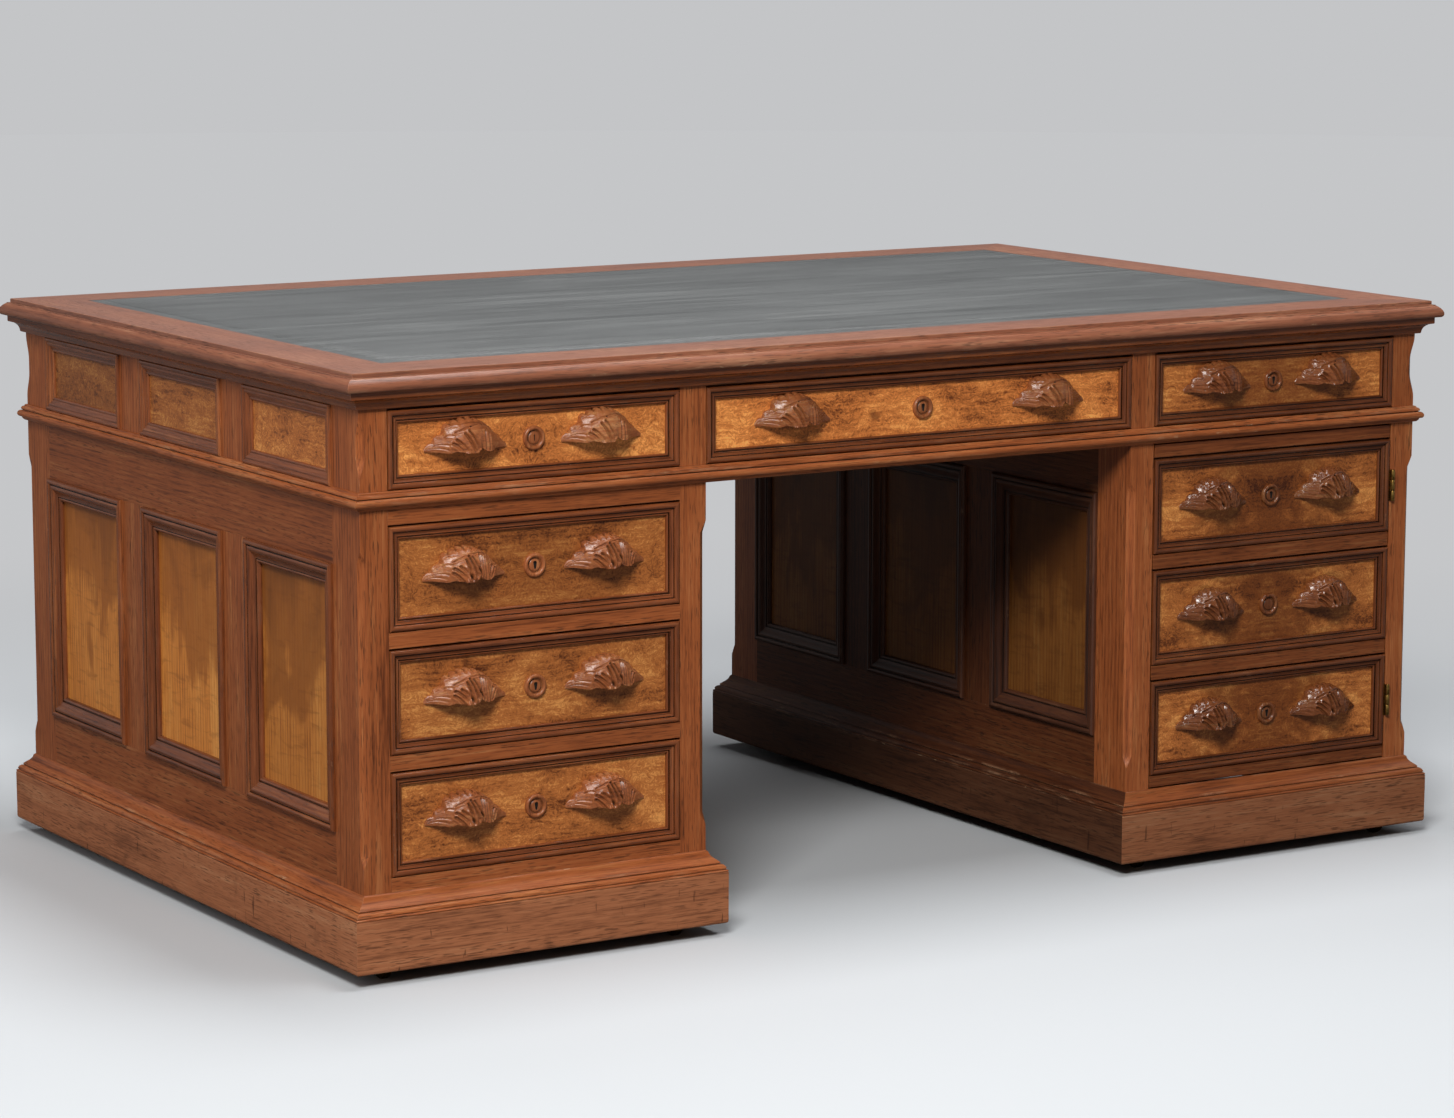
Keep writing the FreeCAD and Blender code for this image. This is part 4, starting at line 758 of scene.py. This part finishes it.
# drawer fronts: moulding round a burl field, from the opening's middle foot, Y 0 on the case face
fronts = {
    "moulding": [
        (0, 0), (0, 10.0), (0.5, 11.9), (1.8, 12.9), (4.2, 13), (6.0, 12.2), (7.0, 10.8), (7.2, 8.6),
        (8.2, 8.6), (8.4, 9.8), (9.4, 9.0), (10.4, 8.4), (11.4, 8.2), (12.2, 8.7), (12.9, 8.2),
        (13.1, 5.6), (14.2, 5.6), (14.4, 6.8), (15.4, 7.3), (16.4, 6.7), (17, 5.0), (17, 0)],
    "member": 0.017, "recess": 0.011, "burl": 0.003, "gap": 0.001, "doorGap": 0.0022, "hang": 0.0016,
    "thinnest": 0.004, "frontBoard": (0.487, 0.512)}
kinds = {"pedestal": {"width": 0.423, "height": 0.136, "pulls": 0.2039, "calm": 0.0, "gouges": "gouges"},
         "small": {"width": 0.423, "height": 0.103, "pulls": 0.1959, "calm": 0.0, "gouges": "fewGouges"},
         "centre": {"width": 0.684, "height": 0.103, "pulls": 0.4104, "calm": 1.0, "gouges": "fewGouges"}}
levels = (0.133, 0.289, 0.445)  # feet of the pedestal fronts
# tone and dark heart of the burl, shade of the moulding and of the pulls
terms = ("kind", "x", "foot", "tone", "heart", "shade", "pulls", "hole")
drawers = {"left_frieze_drawer": ("small", -pedestalX, friezeFoot, 1.28, 0.0, 1.0, 1.0, "slit"),
           "centre_frieze_drawer": ("centre", 0.0, friezeFoot, 1.46, 0.0, 0.78, 0.78, "keyhole"),
           "right_frieze_drawer": ("small", pedestalX, friezeFoot, 1.15, 0.7, 0.68, 0.62, "keyhole"),
           "lower_pedestal_drawer": ("pedestal", -pedestalX, levels[0], 1.02, 0.0, 0.95, 0.9, "keyhole"),
           "middle_pedestal_drawer": ("pedestal", -pedestalX, levels[1], 0.90, 0.0, 0.95, 0.9, "keyhole"),
           "upper_pedestal_drawer": ("pedestal", -pedestalX, levels[2], 0.90, 0.36, 1.0, 0.95, "keyhole")}
drawers = {name: dict(zip(terms, values)) for name, values in drawers.items()}
door = {"tones": (1.10, 1.00, 1.05), "holes": ("keyhole", "plain", "keyhole"), "heart": 0.78, "shade": 0.60,
        "pulls": 0.50}


def facing(side, x, z):  # from a front's own frame to the desk; the back is the front turned half round
    way = 1 if side == "front" else -1
    return lambda points: np.stack([way * (x + points[:, 0]), way * (points[:, 1] - halfY),
                                    z + points[:, 2]], 1)


# a mitred moulding round the front and a flat field inside it, cut at its middle so that its halves can match
def addFront(mouldings, fields, seat, kind, gap, tone, heart):
    width = kinds[kind]["width"] - 2 * gap
    height = kinds[kind]["height"] - 2 * fronts["gap"] - fronts["hang"]  # the gap is wider over a front
    foot, member, recess = fronts["gap"], fronts["member"], fronts["recess"]

    def upright(points):
        return seat(np.stack([points[:, 0], recess - points[:, 2], points[:, 1] + height / 2 + foot], 1))

    addLengths(mouldings, np.array(fronts["moulding"]) / 1000, width, height, upright, grains["front"])
    half = width / 2 - member
    low, high = (-half, recess - fronts["burl"], foot + member), (half, recess, foot + height - member)
    points, faces = boxOf(low, high, rings=3)
    place = np.full((len(points), 3), (0, kinds[kind]["calm"], heart))  # across the field, calm, heart
    place[:, 0] = points[:, 0] / half
    wood = points[:, [0, 2, 1]]
    if heart:
        wood = np.abs(wood)
    fields.add(seat(points), faces, place=place, tone=tone, wood=wood)


def makeFront(node, shade, parts):
    mouldings, fields = Stock(shade), Stock()
    for part in parts:
        addFront(mouldings, fields, *part)
    mouldings.piece(f"{node}_moulding", node, "dark_walnut", [woods["mouldingWalnut"]], smooth=40)
    fields.piece(f"{node}_burl", node, "burl_walnut", [woods["drawerBurl"]])


def isPlain(points, faces):  # the burl field is thinner than any board of the box
    return isBoard(points, faces) and np.ptp(points[:, 1]) > fronts["thinnest"]


def drawerBox(node):
    stock = Stock()
    near, far = fronts["frontBoard"]
    for points, faces in solidsOf(node):
        if isPlain(points, faces):
            stock.add(points, faces.tolist(), mark=1 if near < abs(points[:, 1].mean()) < far else 0)
    boxWoods = [woods["carcassOak"], woods["walnut"]]
    piece = stock.piece(f"{node}_box", node, "carcass_oak", boxWoods, bevel=arris, dissolve=True)
    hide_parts(node)


for side in ("front", "back"):
    for name, spec in drawers.items():
        node = f"{side}_{name}"
        drawerBox(node)
        seat = facing(side, spec["x"], spec["foot"])
        makeFront(node, spec["shade"], [(seat, spec["kind"], fronts["gap"], spec["tone"], spec["heart"])])
    node = f"{side}_cupboard_door"
    boardPiece(node, node, "walnut", woods["walnut"], keep=isPlain, shade=door["shade"])
    parts = [(facing(side, pedestalX, foot), "pedestal", fronts["doorGap"], tone, door["heart"])
             for foot, tone in zip(levels, door["tones"])]
    makeFront(node, door["shade"], parts)
print("drawers and doors made")

# carved leaf pull, cupped downwards, on the burl at Y 0: crown and lip outlines from tip to tip (lip in
# millimetres), and cuts as lines over the face from (across, down) to (across, down)
leaf = {"half": 0.0585, "drop": 0.008, "rise": 0.0395, "reach": 0.0275, "edge": 0.0034, "wall": 0.0045,
        "crownLeast": 0.0024, "reachLeast": 0.0014, "wallLeast": 0.0006, "fall": 0.045,
        "across": 176, "down": 78, "hollow": 7,
        "crown": [
            (-1, 0.03), (-0.95, 0.13), (-0.88, 0.21), (-0.81, 0.22), (-0.785, 0.36), (-0.70, 0.44),
            (-0.60, 0.49), (-0.57, 0.70), (-0.50, 0.80), (-0.40, 0.88), (-0.20, 0.975), (0, 1),
            (0.2, 0.94), (0.44, 0.76), (0.60, 0.53), (0.64, 0.44), (0.78, 0.32), (0.81, 0.26),
            (0.92, 0.12), (1, 0.03)],
        "lip": [
            (-1, 0), (-0.80, 0.2), (-0.52, -1.8), (-0.38, 0.9), (-0.17, -1.6), (0.05, -1.2), (0.13, 1.0),
            (0.20, 4.6), (0.28, 1.2), (0.40, -1.6), (0.56, -2.2), (0.66, 0.4), (0.82, 0.2), (1, 0)],
        "nicks": (-0.42, -0.25, -0.08, 0.10, 0.27, 0.45), "nickDepth": 0.0056, "nickWidth": 0.028,
        "gouges": [
            (-0.40, 0.72, -0.13, 0.93), (-0.42, 0.82, -0.20, 1.02), (-0.27, 0.70, -0.04, 0.92),
            (-0.13, 0.55, -0.02, 0.95), (-0.06, 0.50, 0.12, 0.93), (0.03, 0.50, 0.21, 0.88),
            (0.22, 0.46, 0.23, 0.95), (0.295, 0.46, 0.31, 0.99), (0.37, 0.48, 0.39, 0.99),
            (0.60, 0.60, 0.52, 0.98), (0.68, 0.62, 0.60, 0.96)],
        "fewGouges": [
            (-0.20, 0.62, 0.02, 0.98), (-0.10, 0.57, 0.12, 0.96), (0.33, 0.56, 0.34, 0.98),
            (0.45, 0.58, 0.46, 0.97), (-0.46, 0.80, -0.24, 1.0), (-0.38, 0.74, -0.18, 0.96)],
        "incised": [(-0.40, 0.54, -0.05, 0.46), (-0.05, 0.46, 0.26, 0.36), (0.26, 0.36, 0.56, 0.24)],
        "veins": [(-0.95, 0.55, -0.50, 0.82), (-0.93, 0.75, -0.55, 0.92), (-0.74, 0.35, -0.42, 0.62),
                  (-0.55, 0.22, -0.34, 0.38)],
        "folds": [(-0.585, 0.0, -0.46, 0.3), (-0.80, 0.0, -0.58, 0.5), (0.63, 0.0, 0.56, 0.3),
                  (0.80, 0.0, 0.70, 0.5)],
        "cuts": {"gouges": (0.0024, 0.0018), "fewGouges": (0.0024, 0.0018), "incised": (0.0013, 0.0012),
                 "veins": (0.0005, 0.0012), "folds": (0.0007, 0.0013)}}  # depth and width of a cut


# strokes of a gouge: a dip that fades with distance from each line, with a burr raised along both its sides
def strokes(a, v, kind):
    depth, width = leaf["cuts"][kind]
    size = np.array([leaf["half"], leaf["fall"]])
    x, y = a * size[0], v * size[1]
    relief = np.zeros_like(x)
    for line in leaf[kind]:
        startX, startY = line[:2] * size
        runX, runY = line[2:] * size - (startX, startY)
        t = np.clip(((x - startX) * runX + (y - startY) * runY) / (runX ** 2 + runY ** 2), 0, 1)
        away = np.hypot(x - startX - t * runX, y - startY - t * runY) / (width * (0.75 + 0.25 * t))
        relief += depth * (0.40 * np.exp(-(away - 1.8) ** 2 * 1.3) - np.exp(-away ** 2))
    return relief


# the leaf's face, across a and down v: a quarter turn from the stepped crown on the board out to the lip,
# swelling in the middle and thin at the tips; cuts push it along its normal, and a second quarter turn
# hollows the cup
def leafSurface(gouges):
    a, v = np.meshgrid(np.linspace(-1, 1, leaf["across"]), np.linspace(0, 1, leaf["down"]), indexing="ij")
    outline = np.interp(a, *np.array(leaf["crown"]).T)
    smooth = np.clip(1 - np.abs(a) ** 2.1, 0.004, 1) ** 1.25  # the swelling under the stepped outline
    shape = smooth + (outline - smooth) * (1 - v) ** 1.5
    nick = np.exp(-(np.abs(a[..., None] - np.array(leaf["nicks"])).min(-1) / leaf["nickWidth"]) ** 2)
    crown = leaf["rise"] * shape + leaf["crownLeast"] - leaf["nickDepth"] * nick * (1 - v) ** 5
    lip = np.interp(a, *np.array(leaf["lip"]).T) / 1000
    theta = v * np.pi / 2
    swell = np.clip(1 - np.abs(a) ** 1.7, 0.002, 1) ** 1.5
    reach = leaf["reachLeast"] + leaf["reach"] * swell - 0.45 * np.clip(lip, 0, 1) * v ** 4
    x = leaf["half"] * a * (1 - 0.035 * v * smooth)
    out = leaf["edge"] * smooth ** 0.3 * (1 - v) + reach * np.sin(theta) ** 0.92
    z = -leaf["drop"] + crown * np.cos(theta) ** 0.96 + lip * v ** 3
    base = np.stack([x, -out, z], -1)
    normal = np.cross(np.gradient(base, axis=0), np.gradient(base, axis=1))
    normal /= np.linalg.norm(normal, axis=-1, keepdims=True) + 1e-12
    normal *= np.where(normal[..., 1:2] > 0, -1, 1)
    relief = sum(strokes(a, v, kind) for kind in (gouges, "incised", "veins", "folds"))
    relief *= smooth ** 0.25 * np.clip((1 - np.abs(a)) * 10, 0, 1)
    skin = base + normal * relief[..., None]
    step = np.linspace(0, 1, leaf["hollow"])
    depth = np.clip(out[:, -1] - leaf["wall"] * smooth[:, -1] ** 0.6, leaf["wallLeast"], 1)
    rise = lip[:, -1:] * (1 - step) + 0.6 * crown[:, -1:] * np.sin(step * np.pi / 2)
    inside = np.stack([x[:, -1:] * (1 - 0.14 * step), -depth[:, None] * np.cos(step * np.pi / 2),
                       rise - leaf["drop"]], -1)
    rows = np.concatenate([skin[:, :1] * (1, 0, 1), skin, inside], 1)
    rows[:, -1, 1] = 0
    return rows.reshape(-1, 3), tubeFaces(*rows.shape[:2])


# turned escutcheon in millimetres: a ring, a hollow and a domed middle that a keyhole opens; out is -Y
boss = {"ring": [(15.5, 0), (15.5, 2.0), (15.2, 3.2), (14.3, 4.2), (13.0, 4.7), (11.8, 4.4), (10.9, 3.5),
                 (10.3, 2.5), (9.7, 1.0), (8.8, 0.9), (8.0, 1.8), (7.0, 2.5), (5.8, 2.7)],
        "segments": 40, "keyhole": (2.0, 3.2), "slit": (0.6, 3.4), "plain": (0.05, 0.05), "depth": 2.3,
        "flare": 0.32}


# rings of the turned profile, then the keyhole's edge and its floor; the marks are 1 inside the keyhole,
# which is coloured as painted shade
def bossSurface(hole):
    radius, out = np.array(boss["ring"]).T[..., None]
    count = boss["segments"]
    angle = np.linspace(0, 2 * np.pi, count, endpoint=False)
    up = np.sign(np.round(np.sin(angle), 6))
    rings = np.stack([radius * np.cos(angle), np.repeat(-out, count, 1), radius * np.sin(angle)], -1)
    wide, tall = boss[hole]
    across = wide * (1 + boss["flare"] * up) * np.cos(angle)  # the head is wider than the slot
    slot = np.stack([across, np.full(count, -out[-1, 0]), wide * np.sin(angle) + tall * up], -1)
    points = np.concatenate([rings, slot[None], slot[None] + (0, boss["depth"], 0)]) / 1000
    faces = tubeFaces(len(points), count)
    marks = [0] * (len(faces) - count - 2) + [1] * count + [0, 1]
    return points.reshape(-1, 3), faces, marks


leafShapes = {gouges: leafSurface(gouges) for gouges in ("gouges", "fewGouges")}
bossShapes = {hole: bossSurface(hole) for hole in ("keyhole", "slit", "plain")}


def addFittings(stock, seat, kind, hole):
    spec = kinds[kind]
    place = np.array([0, fronts["recess"] - fronts["burl"], spec["height"] / 2])
    points, faces = leafShapes[spec["gouges"]]
    for x in (-spec["pulls"] / 2, spec["pulls"] / 2):
        stock.add(seat(points + place + (x, 0, 0)), faces, (0, 2, 1))
    points, faces, marks = bossShapes[hole]
    stock.add(seat(points + place), faces, (2, 0, 1))
    if hole != "plain":
        stock.marks[-len(marks):] = marks


lock = {"width": 0.064, "height": 0.044, "thick": 0.010, "front": 0.031, "drop": 0.016}


def addMetalBox(stock, seat, low, high):
    points, faces = boxOf(low, high)
    stock.add(seat(points), faces, mark=2)


def addLock(stock, seat, height):
    top = height - lock["drop"]
    addMetalBox(stock, seat, (-lock["width"] / 2, lock["front"], top - lock["height"]),
                (lock["width"] / 2, lock["front"] + lock["thick"], top))


# butt hinges: barrels and leaves about the door's pin, from the door opening's middle foot
hinge = {"x": 0.2135, "y": -0.0033, "levels": (0.2001, 0.5121), "height": 0.045, "gap": 0.0003,
         "barrel": [(2.2, 0), (2.8, 0.35), (3.0, 0.8)], "segments": 24, "doorLeaf": (0.2093, 0.2103),
         "postLeaf": (0.2105, 0.2115), "leafY": (0.0003, 0.018), "lugY": 0.0004}


def addBarrel(stock, seat, low, high):
    edge = np.array(hinge["barrel"]) / 1000
    profile = np.concatenate([edge + (0, low), (edge * (1, -1))[::-1] + (0, high)])
    points, faces = turned(profile, hinge["segments"])
    stock.add(seat(points + (hinge["x"], hinge["y"], 0)), faces, mark=2)


def addHinge(stock, seat, middle, leafName):  # the middle knuckle is the door's, the outer two the post's
    third, gap = hinge["height"] / 3, hinge["gap"]
    foot, head = middle - 1.5 * third, middle + 1.5 * third
    knuckles = [(foot, foot + third - gap), (foot + 2 * third + gap, head)]
    if leafName == "doorLeaf":
        knuckles = [(foot + third, foot + 2 * third)]
    for low, high in knuckles:
        addBarrel(stock, seat, low, high)
    inner, outer = hinge[leafName]
    near, far = hinge["leafY"]
    addMetalBox(stock, seat, (inner, near, foot), (outer, far, head))
    for low, high in knuckles:
        addMetalBox(stock, seat, (inner, hinge["y"], low), (outer, hinge["lugY"], high))


fittingFinishes = [woods["carvedWalnut"], keyholeShade, agedBrass]
for side in ("front", "back"):
    for name, spec in drawers.items():
        node = f"{side}_{name}"
        stock, seat = Stock(spec["pulls"]), facing(side, spec["x"], spec["foot"])
        addFittings(stock, seat, spec["kind"], spec["hole"])
        addLock(stock, seat, kinds[spec["kind"]]["height"])
        piece = stock.piece(f"{node}_pulls", node, "carved_walnut", fittingFinishes, smooth=50)
        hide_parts(f"{node}_fittings")
    node = f"{side}_cupboard_door"
    stock = Stock(door["pulls"])
    for foot, hole in zip(levels, door["holes"]):
        addFittings(stock, facing(side, pedestalX, foot), "pedestal", hole)
    for middle in hinge["levels"]:
        addHinge(stock, facing(side, pedestalX, 0.0), middle, "doorLeaf")
    piece = stock.piece(f"{node}_pulls", node, "carved_walnut", fittingFinishes, smooth=50)
    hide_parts(f"{node}_fittings")
hinges = Stock()
for side in ("front", "back"):
    for middle in hinge["levels"]:
        addHinge(hinges, facing(side, pedestalX, 0.0), middle, "postLeaf")
piece = hinges.piece("post_hinges_brass", "desk", "hinge_brass", fittingFinishes, smooth=50)
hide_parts("post_hinges")
print("pulls, escutcheons and hinges made")

# casters: turned wheels in the CAD forks
caster = {"x": {"outer": 0.807, "knee": 0.378}, "y": 0.498, "axle": 0.016, "segments": 40,
          "forkEdge": 0.0004, "plateEdge": 0.0006,
          "wheel": [
              (3.1, -7), (8, -7), (9, -6.2), (13, -6.0), (15.2, -5.2), (15.9, -3.4), (16, -1.2), (16, 1.2),
              (15.9, 3.4), (15.2, 5.2), (13, 6.0), (9, 6.2), (8, 7), (3.1, 7)]}
wheelPoints, wheelFaces = turned(np.array(caster["wheel"]) / 1000, caster["segments"])
for pedestal, way in (("left", -1), ("right", 1)):
    for end, back in (("front", -1), ("back", 1)):
        for edge, x in caster["x"].items():
            site = f"{pedestal}_{end}_{edge}_caster"
            stock = Stock()
            stock.add(wheelPoints[:, [2, 1, 0]] + (way * x, back * caster["y"], caster["axle"]), wheelFaces)
            wheel, fork = f"{site}_wheel", f"{site}_fork"
            piece = stock.piece(f"{wheel}_turned", wheel, "caster_brass", [agedBrass], smooth=40)
            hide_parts(wheel)
            boardPiece(fork, fork, "caster_brass", agedBrass, bevel=caster["forkEdge"])
boardPiece("caster_plates", "desk", "caster_iron", blackIron, bevel=caster["plateEdge"])
print("casters made")

# studio: a round pale floor that fades into the grey of the room all round
studio = {"radius": 16.0, "segments": 96, "centre": (-0.52, -0.85, 0), "fade": (1.7, 3.9), "floor": "d0d4d8",
          "room": "c4c5c7", "gloss": 0.6, "glow": 0.4, "walls": (0.15, 0.55, 1.0, 0.1),
          "bounce": (0.24, 0.24, 0.24, 1), "air": (0.044, 0.045, 0.047, 1)}
black = (0, 0, 0, 1)


def mirroredRays(tree, rays):
    seen = tree.most(rays["Is Glossy Ray"], rays["Is Transmission Ray"])
    return tree.times(seen, studio["gloss"])


# a flat disc; near the desk the lamps light the paper, and far off it shows the room's own grey
def makeStudio():
    angle = np.linspace(0, 2 * np.pi, studio["segments"], endpoint=False)
    points = studio["radius"] * np.stack([np.cos(angle), np.sin(angle), np.zeros_like(angle)], -1)
    mesh = bpy.data.meshes.new("studio_floor")
    mesh.from_pydata(points.tolist(), [], [list(range(len(points)))])
    floor = bpy.data.objects.new("studio_floor", mesh)
    scene.collection.objects.link(floor)
    material, tree, shader = startMaterial("studioPaper")
    away = tree.vector("DISTANCE", tree.objectCoord(), studio["centre"])["Value"]
    far = tree.ramp(away, *studio["fade"])
    rays = tree.node("ShaderNodeLightPath")
    mirrored = mirroredRays(tree, rays)
    shown = tree.mix(far, tint(studio["floor"]), black)
    base = tree.mix(mirrored, studio["bounce"], black)
    tree.feed(shader.inputs["Base Color"], tree.mix(rays["Is Camera Ray"], base, shown))
    seen = tree.times(tree.most(rays["Is Camera Ray"], tree.times(mirrored, studio["glow"])), far)
    tree.feed(shader.inputs["Emission Color"], tree.mix(seen, black, tint(studio["room"])))
    shader.inputs["Emission Strength"].default_value = 1.0
    shader.inputs["Roughness"].default_value = 0.9
    shader.inputs["Specular IOR Level"].default_value = 0.1
    mesh.materials.append(material)


def makeRoom():  # the camera sees a grey room, gloss sees its lower walls, and little of it lights the desk
    world = bpy.data.worlds.new("studio_air")
    world.use_nodes = True
    tree = ShaderTree(world.node_tree)
    direction = tree.node("ShaderNodeTexCoord")["Generated"]
    walls = tree.ramp(tree.split(direction)[2], *studio["walls"])
    rays = tree.node("ShaderNodeLightPath")
    seen = tree.most(rays["Is Camera Ray"], tree.times(mirroredRays(tree, rays), walls))
    colour = tree.mix(seen, studio["air"], tint(studio["room"]))
    tree.feed(world.node_tree.nodes["Background"].inputs["Color"], colour)
    scene.world = world


makeStudio()
makeRoom()

# softboxes: place, the point they face, size, power and colour
lamps = {"front_softbox": ((-3.0, -3.8, 3.9), (0, 0, 0.4), (1.8, 1.4), 256, (1, 0.985, 0.96)),
         "overhead_softbox": ((0.1, -0.5, 3.5), (0.1, -0.3, 0.7), (1.2, 2.0), 80, (1, 1, 1)),
         "back_softbox": ((0.8, 2.6, 4.4), (0.2, 0.6, 0.2), (3.2, 2.6), 46, (1, 1, 1)),
         "left_softbox": ((-4.6, 0.4, 2.0), (-0.8, 0, 0.4), (2.0, 2.2), 26, (1, 1, 1)),
         "right_softbox": ((4.4, -0.2, 3.0), (0.8, 0, 0.4), (2.0, 2.0), 20, (1, 1, 1))}
for name, (place, target, size, power, colour) in lamps.items():
    light = bpy.data.lights.new(name, "AREA")
    light.shape = "RECTANGLE"
    light.size, light.size_y = size
    light.energy = power
    light.color = colour
    lamp = bpy.data.objects.new(name, light)
    lamp.location = place
    lamp.rotation_euler = (Vector(target) - Vector(place)).to_track_quat("-Z", "Y").to_euler()
    scene.collection.objects.link(lamp)

# camera fitted to the photograph's edges, angles in degrees
view = {"eye": (-3.304, -5.365, 1.414), "pitch": 9.138, "roll": -0.071, "yaw": -31.704, "lens": 109.9,
        "sensor": 36, "far": 60}
camera = bpy.data.cameras.new("camera")
camera.lens = view["lens"]
camera.sensor_width = view["sensor"]
camera.clip_end = view["far"]
eye = bpy.data.objects.new("camera", camera)
eye.location = view["eye"]
eye.rotation_euler = Euler(np.radians((90 - view["pitch"], view["roll"], view["yaw"])), "XYZ")
scene.collection.objects.link(eye)
scene.camera = eye
scene.view_settings.view_transform = "Standard"
print("studio, lights and camera set")
